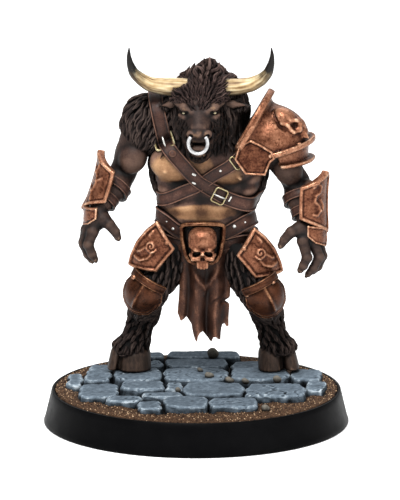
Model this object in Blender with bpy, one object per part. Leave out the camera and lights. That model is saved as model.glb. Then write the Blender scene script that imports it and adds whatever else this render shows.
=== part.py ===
"""Minotaur miniature on a round display base: a cast figure, a cast paving insert and a lipped base.

The base's underside is at z = 0 with its centre at the origin, and the figure faces -Y.
Base and paving are worked out in metres. The figure is sculpted in shares of its own height:
its numbers are the millimetres of a figure SCULPT_HEIGHT tall, from the soles up.
"""

import math
import random

import bmesh
import bpy
from mathutils import Euler, Matrix, Vector
from mathutils.bvhtree import BVHTree
from mathutils.geometry import interpolate_bezier

# Driving dimensions of the base and the paving, in metres
BASE_DIAMETER = 0.050
BASE_HEIGHT = 0.0055
BASE_TAPER = math.radians(13.5)
BASE_FOOT_BEVEL = 0.0003
BASE_SIDES = 72
LIP_WIDTH = 0.0005
RECESS_DEPTH = 0.0008
FIT_GAP = 0.00015
PAVING_MARGIN = 0.0016
STONE_RISE = 0.0018
STONE_CHAMFER = 0.00035
STONE_SINK = 0.0003
STONE_WANDER = 0.00016
PEBBLE_SIZE = 0.0007

# The figure, in metres
FIGURE_HEIGHT = 0.0557
VOXEL_SHARE = 0.0056
FIGURE_TRIANGLES = 7400

# The height that the figure's sculpting numbers are written for
SCULPT_HEIGHT = 55.7

# Joints of the pose: x to the viewer's right, y back, z up from the soles
HEAD_X = 0.65
NOSE = Vector((0.3, -5.7, 42.0))
CHEST = Vector((2.1, 5.0, 35.2))
WAIST = Vector((1.7, 5.3, 26.6))
PELVIS = Vector((1.3, 5.5, 21.8))
RIGHT_ARM = (Vector((-8.6, 4.2, 41.2)), Vector((-12.1, 5.0, 33.0)), Vector((-15.7, 1.0, 28.2)))
LEFT_ARM = (Vector((11.2, 4.2, 40.2)), Vector((16.4, 5.0, 31.6)), Vector((18.0, 1.2, 25.8)))
RIGHT_LEG = (
    Vector((-3.2, 5.6, 21.5)),
    Vector((-8.1, 0.5, 14.5)),
    Vector((-9.2, 7.6, 9.2)),
    Vector((-10.7, 6.2, 4.4)),
)
LEFT_LEG = (
    Vector((5.8, 5.6, 21.5)),
    Vector((10.8, 0.5, 13.9)),
    Vector((12.2, 7.6, 9.0)),
    Vector((13.5, 6.2, 4.4)),
)
HOOF_TURN = {"right": math.radians(-32), "left": math.radians(22)}

# Colours as painted: red, green, blue, then roughness and metallic
FINISHES = {
    "black_plastic": ((0.012, 0.012, 0.012), 0.45, 0.0),
    "stone_paint": ((0.12, 0.15, 0.19), 0.8, 0.0),
    "hide_paint": ((0.055, 0.038, 0.032), 0.65, 0.0),
}


def finish(name):
    """The painted finish of that name as a material."""
    colour, roughness, metallic = FINISHES[name]
    material = bpy.data.materials.new(name)
    material.use_nodes = True
    shader = material.node_tree.nodes["Principled BSDF"]
    shader.inputs["Base Color"].default_value = (*colour, 1.0)
    shader.inputs["Roughness"].default_value = roughness
    shader.inputs["Metallic"].default_value = metallic
    return material


def make_object(name, mesh_data, finish_name):
    """Links a bmesh as a named object with its finish."""
    mesh = bpy.data.meshes.new(name)
    mesh_data.to_mesh(mesh)
    mesh_data.free()
    mesh.materials.append(finish(finish_name))
    piece = bpy.data.objects.new(name, mesh)
    bpy.context.scene.collection.objects.link(piece)
    return piece


# Clay tools: each adds closed shapes to a bmesh, and the figure's skin is drawn round them all

def ball(clay, centre, radii, turn=(0, 0, 0)):
    """An ellipsoid, turned by three angles in degrees."""
    spin = Euler([math.radians(a) for a in turn]).to_matrix().to_4x4()
    place = Matrix.Translation(centre) @ spin @ Matrix.Diagonal((*radii, 1))
    bmesh.ops.create_icosphere(clay, subdivisions=3, radius=1, matrix=place)


def limb(clay, points, radii):
    """A round limb through the points, with a radius at each."""
    for point, radius in zip(points, radii):
        ball(clay, point, (radius,) * 3)
    for (start, end), (wide, thin) in zip(zip(points, points[1:]), zip(radii, radii[1:])):
        along = Vector(end) - Vector(start)
        place = (
            Matrix.Translation((Vector(start) + Vector(end)) / 2)
            @ along.to_track_quat("Z", "Y").to_matrix().to_4x4()
        )
        bmesh.ops.create_cone(
            clay, cap_ends=True, segments=20, radius1=wide, radius2=thin,
            depth=along.length, matrix=place,
        )


def facing(centre, normal, up):
    """A matrix whose z is the outward normal and whose y is as near to up as it can be."""
    z = Vector(normal).normalized()
    x = Vector(up).cross(z).normalized()
    y = z.cross(x)
    turn = Matrix((x, y, z)).transposed().to_4x4()
    return Matrix.Translation(centre) @ turn


def bent(point, round_x, round_y):
    """A point of a flat plate after the plate is bent to a radius across and a radius along."""
    x, y, z = point
    if round_x:
        x, z = (round_x + z) * math.sin(x / round_x), (round_x + z) * math.cos(x / round_x) - round_x
    if round_y:
        y, z = (round_y + z) * math.sin(y / round_y), (round_y + z) * math.cos(y / round_y) - round_y
    return Vector((x, y, z))


def plate(clay, outline, place, thickness=0.9, rim=0.55, recess=0.25, round_x=0, round_y=0, cell=1.2):
    """An armour plate: a flat outline with a raised rim, bent over the limb that it covers."""
    work = bmesh.new()
    face = work.faces.new([work.verts.new((x, y, -thickness)) for x, y in outline])
    if face.normal.dot((0, 0, 1)) < 0:
        face.normal_flip()
    risen = bmesh.ops.extrude_face_region(work, geom=[face])["geom"]
    bmesh.ops.translate(work, verts=[v for v in risen if isinstance(v, bmesh.types.BMVert)], vec=(0, 0, thickness))
    bmesh.ops.recalc_face_normals(work, faces=work.faces)
    top = [f for f in work.faces if f.normal.z > 0.9]
    if rim:
        bmesh.ops.inset_region(work, faces=top, thickness=rim, depth=0, use_even_offset=True)
        bmesh.ops.inset_region(work, faces=top, thickness=0.12, depth=-recess, use_even_offset=True)
    for axis in range(2):
        low = min(v.co[axis] for v in work.verts)
        high = max(v.co[axis] for v in work.verts)
        cuts = int((high - low) / cell)
        for k in range(1, cuts + 1):
            at, normal = Vector(), Vector()
            at[axis] = low + (high - low) * k / (cuts + 1)
            normal[axis] = 1
            geometry = work.verts[:] + work.edges[:] + work.faces[:]
            bmesh.ops.bisect_plane(work, geom=geometry, plane_co=at, plane_no=normal)
    bmesh.ops.triangulate(work, faces=work.faces)
    for v in work.verts:
        v.co = place @ bent(v.co, round_x, round_y)
    add_to(clay, work)


def add_to(clay, work):
    """Moves all of one bmesh into another."""
    mesh = bpy.data.meshes.new("work")
    work.to_mesh(mesh)
    work.free()
    clay.from_mesh(mesh)
    bpy.data.meshes.remove(mesh)


def dome(clay, centre, radii, cuts):
    """A solid ellipsoid cap: what the cutting planes, each a point and an outward normal, leave."""
    work = bmesh.new()
    place = Matrix.Translation(centre) @ Matrix.Diagonal((*radii, 1))
    bmesh.ops.create_icosphere(work, subdivisions=4, radius=1, matrix=place)
    for point, normal in cuts:
        geometry = work.verts[:] + work.edges[:] + work.faces[:]
        cut = bmesh.ops.bisect_plane(
            work, geom=geometry, plane_co=point, plane_no=normal, clear_outer=True
        )["geom_cut"]
        bmesh.ops.holes_fill(work, edges=[e for e in cut if isinstance(e, bmesh.types.BMEdge)])
    add_to(clay, work)


def skin_point(tree, inside, outward, reach=40.0):
    """Where a ray from outside, towards a point inside the clay, first meets it."""
    outward = Vector(outward).normalized()
    hit, normal, _, _ = tree.ray_cast(Vector(inside) + outward * reach, -outward, reach)
    return (hit, normal) if hit else (Vector(inside), outward)


def ribbon(clay, centres, normals, width, thickness, closed=False):
    """A flat strap of constant width along points on the skin, its back sunk in it."""
    count = len(centres)
    rows = []
    for i, (centre, normal) in enumerate(zip(centres, normals)):
        ahead = centres[(i + 1) % count if closed else min(i + 1, count - 1)]
        behind = centres[i - 1 if closed or i else 0]
        side = (ahead - behind).normalized().cross(normal).normalized() * width / 2
        top, base = normal * thickness, -normal * thickness
        rows.append([clay.verts.new(centre + o) for o in (side + base, side + top, top - side, base - side)])
    pairs = list(zip(rows, rows[1:])) + ([(rows[-1], rows[0])] if closed else [])
    for a, b in pairs:
        for j in range(4):
            k = (j + 1) % 4
            clay.faces.new((a[j], b[j], b[k], a[k]))
    if not closed:
        clay.faces.new(rows[0])
        clay.faces.new(rows[-1][::-1])


def loop_on_skin(tree, centre, through, steps=56):
    """Points and normals where the plane through three points meets the skin, all the way round."""
    a, b, c = (Vector(p) for p in through)
    normal = (b - a).cross(c - a).normalized()
    middle = Vector(centre) - normal * (Vector(centre) - a).dot(normal)
    first = (b - middle).normalized()
    second = normal.cross(first)
    found = [
        skin_point(tree, middle, first * math.cos(t) + second * math.sin(t))
        for t in (math.tau * k / steps for k in range(steps))
    ]
    # The strap spans hollows, so each normal is the ray's own and not the skin's
    return [p for p, _ in found], [(p - middle).normalized() for p, _ in found]


def lock(clay, root, normal, flow, length, width):
    """One pointed lock of hair, sunk at the root and lying over along the flow."""
    lean = (flow * 0.75 + normal * 0.65).normalized()
    place = Matrix.Translation(root + lean * length * 0.3) @ lean.to_track_quat("Z", "Y").to_matrix().to_4x4()
    bmesh.ops.create_cone(
        clay, cap_ends=True, segments=6, radius1=width, radius2=width * 0.15, depth=length, matrix=place
    )


def fur(clay, tree, bone, count, length, width, flow, faces=None):
    """Locks in a spiral round a bone from its start to its end, rooted on the skin."""
    start, end = (Vector(p) for p in bone)
    along = (end - start).normalized()
    across = along.orthogonal().normalized()
    golden = math.pi * (3 - math.sqrt(5))
    for k in range(count):
        inside = start.lerp(end, (k + 0.5) / count)
        outward = Matrix.Rotation(golden * k, 3, along) @ across
        if faces and outward.dot(Vector(faces)) < 0:
            continue
        root, normal = skin_point(tree, inside, outward, 12.0)
        lock(clay, root, normal, Vector(flow).normalized(), length, width)


# The figure, part by part

def torso(clay):
    ball(clay, CHEST, (8.7, 5.4, 6.6))
    ball(clay, WAIST, (7.3, 4.6, 5.6))
    ball(clay, PELVIS, (7.0, 4.9, 4.4))
    ball(clay, (-4.2, 6.0, 33.0), (3.4, 3.8, 6.2), (0, -12, 0))
    ball(clay, (8.4, 6.0, 33.0), (3.4, 3.8, 6.2), (0, 12, 0))
    for side in (-1, 1):
        ball(clay, (0.7 + side * 4.3, 1.6, 35.0), (4.2, 2.4, 3.2), (0, side * 12, 0))
        for row, height in enumerate((26.4, 29.3, 32.0)):
            ball(clay, (0.7 + side * 2.1, 1.9 - 0.2 * row, height), (2.0, 1.5, 1.6))
    limb(clay, ((1.8, 5.6, 39.0), (1.2, 3.6, 43.5), (HEAD_X, 0.8, 46.0)), (5.8, 5.0, 3.6))
    ball(clay, (1.9, 6.4, 43.6), (6.2, 5.0, 6.0))


def head(clay):
    ball(clay, (HEAD_X, -0.4, 46.4), (4.1, 3.4, 3.9))
    ball(clay, (1.2, 1.8, 48.2), (4.4, 3.2, 3.2))
    ball(clay, (1.9, 4.0, 46.4), (5.4, 4.2, 5.2))
    limb(clay, ((HEAD_X, -2.0, 45.6), NOSE), (2.7, 1.75))
    limb(clay, ((HEAD_X, -0.6, 42.4), (0.4, -4.4, 40.2)), (2.6, 1.45))
    for side in (-1, 1):
        ball(clay, (HEAD_X + side * 2.1, -3.0, 46.3), (1.7, 1.1, 0.65), (0, -side * 24, 0))
        ball(clay, (HEAD_X + side * 2.5, -3.2, 45.2), (0.75, 0.6, 0.5))
        ball(clay, (HEAD_X + side * 2.3, -1.0, 43.4), (1.6, 2.4, 2.3))
        ball(clay, NOSE + Vector((side * 1.25, -0.5, 0.1)), (0.95, 1.1, 1.0))
        ear_root = Vector((HEAD_X + side * 3.4, 0.4, 45.9))
        ear_middle = ear_root + Vector((side * 2.0, -0.3, 0.2))
        ear_tip = ear_root + Vector((side * 4.3, -0.4, -0.4))
        limb(clay, (ear_root, ear_middle, ear_tip), (0.8, 0.95, 0.25))
        horn(clay, side)
    nose_ring(clay)


def horn(clay, side):
    """One horn: out sideways, then up, thinning to a point."""
    reach = [Vector((HEAD_X + side * x, y, z)) for x, y, z in
             ((2.8, 0.6, 48.2), (9.8, 0.8, 48.3), (11.6, -0.6, 50.2), (11.6, -1.0, SCULPT_HEIGHT - 0.2))]
    steps = 12
    path = interpolate_bezier(*reach, steps)
    limb(clay, path, [1.55 * (1 - (k / (steps - 1)) ** 1.7) + 0.2 for k in range(steps)])


def nose_ring(clay, size=1.5, wire=0.34):
    """The ring that hangs from the nostrils, open at the top."""
    centre = NOSE + Vector((0, -1.2, -1.9))
    turns = [math.radians(125 - 17.5 * k) for k in range(21)]
    path = [centre + Vector((size * math.cos(t), 0, size * math.sin(t))) for t in turns if math.sin(t) < 0.85]
    limb(clay, path, [wire] * len(path))


def arm(clay, bones, side, biceps):
    """Upper arm, forearm with its wraps and the clawed hand."""
    shoulder, elbow, wrist = bones
    limb(clay, (shoulder, shoulder.lerp(elbow, 0.5), elbow), (3.3, 2.9, 2.3))
    ball(clay, biceps, (2.6, 2.7, 2.9))
    limb(clay, (elbow, elbow.lerp(wrist, 0.35), wrist), (2.3, 2.5, 1.6))
    hand(clay, wrist, side)


def hand(clay, wrist, side):
    """A big relaxed hand: four curled fingers and a thumb towards the body."""
    inward = Vector((-side, -0.1, 0)).normalized()
    spread = Vector((side * 0.45, 0.9, 0)).normalized()
    palm = wrist + Vector((side * 0.7, -0.6, -2.0))
    limb(clay, (wrist, palm), (1.5, 1.7))
    for finger in range(4):
        across = spread * (finger - 1.5) * 1.05
        knuckle = palm + across + Vector((side * 0.4, -0.3, -1.2 + 0.15 * abs(finger - 1)))
        bend = knuckle + across * 0.2 + Vector((side * 0.5, -0.25, -2.3))
        joint = bend + inward * 0.4 + Vector((0, -0.1, -1.5))
        tip = joint + inward * 0.8 + Vector((0, 0, -1.2))
        limb(clay, (palm + across * 0.8, knuckle, bend, joint, tip), (0.8, 0.85, 0.8, 0.7, 0.35))
    thumb = palm + inward * 1.2 + Vector((0, -1.0, 0.4))
    middle = thumb + inward * 1.2 + Vector((0, -0.3, -1.4))
    limb(clay, (palm, thumb, middle, middle + inward * 0.3 + Vector((0, 0, -2.0))), (1.1, 1.0, 0.85, 0.4))


def leg(clay, bones, side):
    """Thigh, bent shank, cannon and cloven hoof."""
    hip, knee, hock, fetlock = bones
    limb(clay, (hip, hip.lerp(knee, 0.45), knee), (4.3, 3.8, 2.9))
    limb(clay, (knee, hock), (2.9, 2.3))
    limb(clay, (hock, fetlock), (2.2, 2.2))
    hoof(clay, fetlock, HOOF_TURN["left" if side > 0 else "right"])


def hoof(clay, fetlock, turn):
    """Two toes side by side, flat underneath, leaning forward from the fetlock."""
    spin = Matrix.Rotation(turn, 3, "Z")
    for side in (-1, 1):
        heel = fetlock + spin @ Vector((side * 0.9, -0.4, 0))
        toe = Vector((fetlock.x, fetlock.y, 0)) + spin @ Vector((side * 1.75, -2.0, 0.1))
        limb(clay, (heel, toe.lerp(heel, 0.45), toe), (1.6, 1.75, 2.05))
        limb(clay, (toe, toe + spin @ Vector((-side * 0.3, -1.2, 0))), (1.9, 1.2))


def loincloth(clay):
    """The hanging cloth: soft vertical folds and a torn lower edge."""
    columns, rows = 20, 14
    top, left, right = 22.5, -3.0, 5.6
    tips = (11.2, 9.4, 10.3, 10.0, 7.8, 6.4, 7.9, 8.4, 6.3, 7.2, 6.3, 8.6, 8.4, 9.6)
    front, back = [], []
    for j in range(rows + 1):
        for i in range(columns + 1):
            u = i / columns
            place = u * (len(tips) - 1)
            low = int(min(place, len(tips) - 2))
            bottom = tips[low] + (tips[low + 1] - tips[low]) * (place - low)
            height = top + (bottom - top) * j / rows
            fold = 0.55 * math.sin(u * 5 * math.pi + 0.8) * (0.4 + 0.6 * j / rows)
            depth = 0.4 + fold * 0.8 + 1.6 * (2 * u - 1) ** 2
            x = left + (right - left) * u
            front.append(clay.verts.new((x, depth - 0.4, height)))
            back.append(clay.verts.new((x, depth + 0.5, height)))
    width = columns + 1
    for j in range(rows):
        for i in range(columns):
            a, b = j * width + i, (j + 1) * width + i
            clay.faces.new((front[a], front[b], front[b + 1], front[a + 1]))
            clay.faces.new((back[a], back[a + 1], back[b + 1], back[b]))
    rim = (
        [j * width for j in range(rows + 1)]
        + [rows * width + i for i in range(1, width)]
        + [j * width + columns for j in range(rows - 1, -1, -1)]
        + list(range(columns - 1, 0, -1))
    )
    for a, b in zip(rim, rim[1:] + rim[:1]):
        clay.faces.new((front[b], front[a], back[a], back[b]))


def straps(clay, tree):
    """Two chest straps that cross on the breastbone, and the waist belt."""
    crossing = (0.3, -0.6, 32.9)
    for through in (
        ((-6.8, 4.0, 46.0), crossing, (9.1, 4.0, 28.0)),
        ((7.5, 0.0, 37.0), crossing, (-5.8, 4.0, 29.0)),
    ):
        centres, normals = loop_on_skin(tree, CHEST, through)
        ribbon(clay, centres, normals, 1.9, 0.4, closed=True)
    centres, normals = loop_on_skin(tree, PELVIS, ((-6.0, 4.0, 24.2), (1.0, 0.2, 21.9), (9.0, 4.0, 24.2)))
    ribbon(clay, centres, normals, 2.8, 0.55, closed=True)


def buckle(clay):
    """The belt's plate: a rounded frame with a skull standing out of it."""
    place = facing((1.05, -0.9, 22.6), (0, -1, 0.1), (0, 0, 1))
    outline = ((-3.7, 2.6), (-3.9, -0.6), (-2.9, -2.9), (-1.4, -4.0), (1.4, -4.0), (2.9, -2.9), (3.9, -0.6), (3.7, 2.6), (0, 3.2))
    plate(clay, outline, place, thickness=1.6, rim=0.65, recess=0.5, round_x=9)
    skull = place @ Vector((0, 0.2, 0.2))
    ball(clay, skull + Vector((0, 0, 0.6)), (2.25, 1.3, 2.1))
    for side in (-1, 1):
        ball(clay, skull + Vector((side * 1.5, -0.7, -1.9)), (0.8, 0.7, 0.6))
    ball(clay, skull + Vector((0, -0.4, -3.2)), (1.1, 0.9, 1.2))


def thigh_plate(clay, centre, side):
    """A leaf of armour from the hip down the front of the thigh, its inner corner drawn out."""
    leaf = ((0.1, 4.6), (1.5, 2.6), (2.8, 0.0), (3.5, -2.8), (3.7, -4.9), (-2.2, -3.8), (-4.3, 1.0))
    place = facing(centre, (side * 0.42, -0.9, 0.1), (-side * 0.29, 0, 1))
    plate(clay, [(side * x, y) for x, y in leaf], place, thickness=1.2, rim=0.6, round_x=5.2, round_y=18)


def knee_guard(clay, knee, normal, up):
    """A ridged cup over the knee under a riveted band."""
    place = facing(knee, normal, up)
    out, above = place.to_3x3() @ Vector((0, 0, 1)), place.to_3x3() @ Vector((0, 1, 0))
    dome(clay, knee, (3.75, 3.75, 3.9), ((knee + out * 0.2, -out), (knee + above * 2.4, above)))
    plate(
        clay, ((-3.6, -0.7), (3.6, -0.7), (3.6, 0.7), (-3.6, 0.7)),
        Matrix.Translation(above * 2.2 + out * 3.9) @ place, thickness=0.9, rim=0, round_x=3.9,
    )


def bracer(clay, centre, hand_plate, side, lean):
    """The forearm guard, pointed at both ends and flared, and the small plate over the hand."""
    half = ((0.7, 5.0), (3.4, 2.6), (3.2, -2.8), (0.8, -5.2))
    low = ((1.5, 1.9), (1.7, -0.6), (0.4, -2.2))
    outward = (side * 0.8, -0.6, 0.0)
    up = (lean, 0.2, 1)
    plate(clay, mirrored(half), facing(centre, outward, up), thickness=1.0, rim=0.55, round_x=3.8, round_y=-20)
    plate(clay, mirrored(low), facing(hand_plate, outward, up), thickness=0.8, rim=0.35, recess=0.15, round_x=3.0)


def mirrored(half):
    """A symmetrical outline from its right half, listed from the top down."""
    return list(half) + [(-x, y) for x, y in half[::-1]]


def pauldron(clay):
    """The shoulder guard: a dome, its standing collar, the front plate and the lame below."""
    centre = Vector((11.4, 4.2, 38.8))
    lower = Vector((0.25, 0.0, -1.0)).normalized()
    inner = Vector((-0.81, 0.0, 0.59))
    dome(clay, centre, (7.2, 6.3, 6.1), ((centre + lower * 0.4, lower), (centre + inner * 4.5, inner)))
    dome(clay, centre + Vector((0.3, 0, 0)), (7.9, 6.9, 6.8),
         ((centre + lower * 0.9, lower), (centre - lower * 0.2, -lower), (centre + inner * 4.3, inner)))
    dome(clay, centre + Vector((2.6, 0, -2.4)), (5.7, 5.4, 5.8),
         ((centre + lower * 3.5, lower), (centre + lower * 0.7, -lower), (centre + inner * 0.5, inner)))
    arc = [(6.3 * math.cos(math.radians(t)), 7.3 * math.sin(math.radians(t))) for t in range(-16, 197, 14)]
    plate(clay, arc, facing(centre + inner * 5.0, inner, (0.59, 0, 0.81)), thickness=0.9, rim=0.5, recess=0.2)
    front = ((-0.6, 3.0), (-2.6, 2.0), (-3.3, -0.4), (-1.4, -2.8), (1.9, -2.9), (2.7, -0.5), (3.6, 0.7))
    plate(clay, front, facing((9.4, -2.6, 37.3), (-0.12, -1, 0.1), (0, 0, 1)), thickness=1.1, rim=0.35, recess=0.15)
    skull_relief(clay, centre + Vector((4.4, -3.9, 2.9)))


def skull_relief(clay, centre):
    """The small raised skull on the shoulder guard."""
    ball(clay, centre, (1.7, 1.6, 1.5))
    ball(clay, centre + Vector((0.5, -0.7, -1.5)), (0.9, 0.9, 0.9))


def coat(clay, tree):
    """Locks of hair on the mane, the bare shoulder, the forearms' tops and the legs."""
    down, back = Vector((0, 0.1, -1)), Vector((0, 0.9, -0.5))
    fur(clay, tree, ((1.6, 3.0, 47.0), (1.9, 7.0, 40.0)), 90, 2.2, 0.75, back)
    fur(clay, tree, ((HEAD_X, -0.8, 49.0), (1.9, 4.5, 47.0)), 70, 1.9, 0.75, (0, 0.9, 0.5), faces=(0, -0.3, 1))
    fur(clay, tree, ((-6.2, 4.4, 45.0), (-9.4, 4.6, 39.6)), 60, 2.0, 0.75, (-0.25, 0.1, -1))
    fur(clay, tree, ((1.2, 5.5, 45.0), (0.6, 0.0, 41.0)), 40, 2.0, 0.7, down)
    fur(clay, tree, ((1.9, 8.0, 40.0), (1.7, 7.6, 28.0)), 60, 1.8, 0.7, down, faces=(0, 1, 0))
    for bones in (RIGHT_LEG, LEFT_LEG):
        hip, knee, hock, fetlock = bones
        fur(clay, tree, (hip, knee), 70, 1.7, 0.6, down)
        fur(clay, tree, (knee, hock), 40, 1.7, 0.6, down)
        fur(clay, tree, (hock, fetlock + Vector((0, 0, 0.2))), 44, 1.9, 0.6, down)


def skin_over(clay, floor):
    """One closed skin round all of the clay, thinned to its triangle budget and cut flat at the soles."""
    unit = FIGURE_HEIGHT / SCULPT_HEIGHT
    bmesh.ops.transform(clay, matrix=Matrix.Translation((0, 0, floor)) @ Matrix.Scale(unit, 4), verts=clay.verts)
    bmesh.ops.recalc_face_normals(clay, faces=clay.faces)
    raw = make_object("clay", clay, "hide_paint")
    skin = raw.modifiers.new("skin", "REMESH")
    skin.mode = "VOXEL"
    skin.voxel_size = FIGURE_HEIGHT * VOXEL_SHARE
    graph = bpy.context.evaluated_depsgraph_get()
    fine = len(raw.evaluated_get(graph).data.polygons) * 2
    thin = raw.modifiers.new("thin", "DECIMATE")
    thin.ratio = FIGURE_TRIANGLES / fine
    graph = bpy.context.evaluated_depsgraph_get()
    skinned = bmesh.new()
    skinned.from_object(raw, graph)
    bpy.data.objects.remove(raw)
    geometry = skinned.verts[:] + skinned.edges[:] + skinned.faces[:]
    cut = bmesh.ops.bisect_plane(
        skinned, geom=geometry, plane_co=(0, 0, floor), plane_no=(0, 0, -1), clear_outer=True
    )["geom_cut"]
    bmesh.ops.holes_fill(skinned, edges=[e for e in cut if isinstance(e, bmesh.types.BMEdge)])
    bmesh.ops.triangulate(skinned, faces=skinned.faces)
    return skinned


def minotaur(floor):
    """The whole cast figure, standing with its soles at that height."""
    clay = bmesh.new()
    torso(clay)
    tree = BVHTree.FromBMesh(clay)
    straps(clay, tree)
    head(clay)
    ball(clay, (-8.2, 4.3, 41.8), (3.5, 3.7, 4.2))
    ball(clay, (-5.2, 4.6, 43.2), (3.8, 3.8, 3.4))
    arm(clay, RIGHT_ARM, -1, (-10.3, 2.8, 36.3))
    arm(clay, LEFT_ARM, 1, (15.0, 2.9, 34.2))
    leg(clay, RIGHT_LEG, -1)
    leg(clay, LEFT_LEG, 1)
    coat(clay, BVHTree.FromBMesh(clay))
    loincloth(clay)
    buckle(clay)
    thigh_plate(clay, (-7.7, -1.5, 22.2), -1)
    thigh_plate(clay, (10.8, -1.5, 21.1), 1)
    knee_guard(clay, RIGHT_LEG[1], (-0.3, -1, 0.0), (0.42, 0, 1))
    knee_guard(clay, LEFT_LEG[1], (0.3, -1, 0.0), (-0.4, 0, 1))
    bracer(clay, Vector((-16.2, 0.3, 32.8)), Vector((-17.9, 0.0, 27.2)), -1, 0.4)
    bracer(clay, Vector((20.6, 0.3, 29.3)), Vector((21.0, 0.0, 24.0)), 1, -0.09)
    pauldron(clay)
    return make_object("minotaur_figure", skin_over(clay, floor), "hide_paint")


# The base and the paving

def top_radius():
    """The base's radius at its upper edge."""
    return BASE_DIAMETER / 2 - BASE_HEIGHT * math.tan(BASE_TAPER)


def turned(name, profile, finish_name):
    """A closed solid of revolution about z through (radius, height) points, from the axis to the axis."""
    body = bmesh.new()
    rings = []
    for radius, height in profile:
        if radius == 0:
            rings.append([body.verts.new((0, 0, height))] * BASE_SIDES)
            continue
        turns = (math.tau * k / BASE_SIDES for k in range(BASE_SIDES))
        rings.append([body.verts.new((radius * math.cos(t), radius * math.sin(t), height)) for t in turns])
    for low, high in zip(rings, rings[1:]):
        for k in range(BASE_SIDES):
            n = (k + 1) % BASE_SIDES
            corners = dict.fromkeys((low[k], low[n], high[n], high[k]))
            body.faces.new(corners)
    bmesh.ops.recalc_face_normals(body, faces=body.faces)
    return make_object(name, body, finish_name)


def round_base():
    """The black base: a tapered disc with a lip round a shallow recess."""
    rim = top_radius()
    floor = BASE_HEIGHT - RECESS_DEPTH
    recess = rim - LIP_WIDTH
    foot = BASE_DIAMETER / 2
    profile = (
        (0, 0), (foot - BASE_FOOT_BEVEL, 0), (foot, BASE_FOOT_BEVEL),
        (rim, BASE_HEIGHT), (recess, BASE_HEIGHT), (recess, floor), (0, floor),
    )
    return turned("round_base", profile, "black_plastic")


# The paving stones of a base STONE_PLAN wide: left, right, near, far, and how far the top stands
# from the level that the soles rest on
STONE_PLAN = 50.0
STONES = (
    (2.5, 9.8, -19.6, -12.4, -0.5),
    (-4.6, 1.8, -20.4, -12.2, -0.4),
    (-9.2, -5.3, -19.9, -12.6, -0.7),
    (-15.0, -9.9, -17.2, -12.4, -0.5),
    (8.3, 17.6, -11.7, -3.0, -0.2),
    (-1.9, 7.6, -11.4, -1.7, -0.3),
    (-12.1, -2.6, -7.3, -1.6, -0.1),
    (-8.6, -2.6, -11.6, -8.0, -0.6),
    (-12.1, -9.3, -11.8, -8.0, -0.4),
    (-19.0, -12.8, -11.6, -2.0, -0.5),
    (5.8, 14.9, -1.0, 7.0, 0.0),
    (-5.2, 5.1, -1.0, 7.5, -0.1),
    (-13.5, -5.9, -0.9, 7.6, 0.0),
    (-18.2, -14.2, -1.2, 6.2, -0.2),
    (15.6, 20.4, 0.2, 7.4, -0.3),
    (18.2, 20.8, -6.0, -0.6, -0.8),
    (-20.8, -18.9, -1.2, 4.6, -0.8),
    (-4.9, 5.1, 8.2, 13.9, -0.2),
    (6.0, 13.2, 7.8, 13.2, -0.5),
    (-13.1, -5.6, 8.4, 13.6, -0.3),
    (-17.4, -13.8, 7.2, 12.0, -0.7),
    (-4.7, 7.2, 14.7, 19.4, 0.2),
    (-12.1, -5.5, 14.4, 18.2, -0.1),
)
PEBBLES = ((3.3, -12.0), (8.0, -2.2), (15.4, -1.6), (14.4, 10.4), (10.4, 15.2), (-9.4, 19.0), (13.4, -13.4))


def stone_outline(left, right, near, far, reach):
    """A hewn outline: the sides cut in two with a little wander, kept within the paving's edge."""
    middle = Vector(((left + right) / 2, (near + far) / 2))
    corners = [Vector(c) for c in ((left, near), (right, near), (right, far), (left, far))]
    points = []
    for a, b in zip(corners, corners[1:] + corners[:1]):
        for step in (0.11, 0.5, 0.89):
            point = a.lerp(b, step) + Vector((random.uniform(-1, 1), random.uniform(-1, 1))) * STONE_WANDER
            while point.length > reach:
                point = point.lerp(middle, 0.04)
            points.append(point)
    return points


def add_stone(stones, outline, bottom, top):
    """A slab on that outline with a chamfered top."""
    face = stones.faces.new([stones.verts.new((x, y, bottom)) for x, y in outline])
    risen = bmesh.ops.extrude_face_region(stones, geom=[face])["geom"]
    bmesh.ops.translate(
        stones, verts=[v for v in risen if isinstance(v, bmesh.types.BMVert)],
        vec=(0, 0, top - STONE_CHAMFER - bottom),
    )
    cap = [f for f in risen if isinstance(f, bmesh.types.BMFace)]
    bmesh.ops.inset_region(stones, faces=cap, thickness=STONE_CHAMFER, depth=0, use_even_offset=False)
    for v in cap[0].verts:
        v.co.z = top


def paving():
    """The cast insert: a thin ground disc with paving stones and a few pebbles on it."""
    random.seed(7)
    unit = BASE_DIAMETER / STONE_PLAN
    radius = top_radius() - LIP_WIDTH - FIT_GAP
    low, ground = BASE_HEIGHT - RECESS_DEPTH + FIT_GAP, BASE_HEIGHT
    level = ground + STONE_RISE
    insert = turned("paving_insert", ((0, low), (radius, low), (radius, ground), (0, ground)), "stone_paint")
    stones = bmesh.new()
    for left, right, near, far, rise in STONES:
        outline = stone_outline(left * unit, right * unit, near * unit, far * unit, radius - PAVING_MARGIN)
        add_stone(stones, outline, ground - STONE_SINK, level + rise * unit)
    pebbles = bmesh.new()
    for x, y in PEBBLES:
        place = Matrix.Translation((x * unit, y * unit, ground + PEBBLE_SIZE * 0.4))
        bmesh.ops.create_icosphere(
            pebbles, subdivisions=1, radius=1,
            matrix=place @ Matrix.Diagonal((PEBBLE_SIZE, PEBBLE_SIZE * 0.8, PEBBLE_SIZE * 0.7, 1)),
        )
    for name, work in (("stones", stones), ("pebbles", pebbles)):
        bmesh.ops.recalc_face_normals(work, faces=work.faces)
        laid = make_object(name, work, "stone_paint")
        laid.hide_render = True
        laid.display_type = "WIRE"
        union = insert.modifiers.new(name, "BOOLEAN")
        union.operation = "UNION"
        union.solver = "EXACT"
        union.object = laid
    return level


def main():
    for old in list(bpy.data.objects):
        bpy.data.objects.remove(old)
    round_base()
    level = paving()
    minotaur(level + FIT_GAP)


main()
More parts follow.
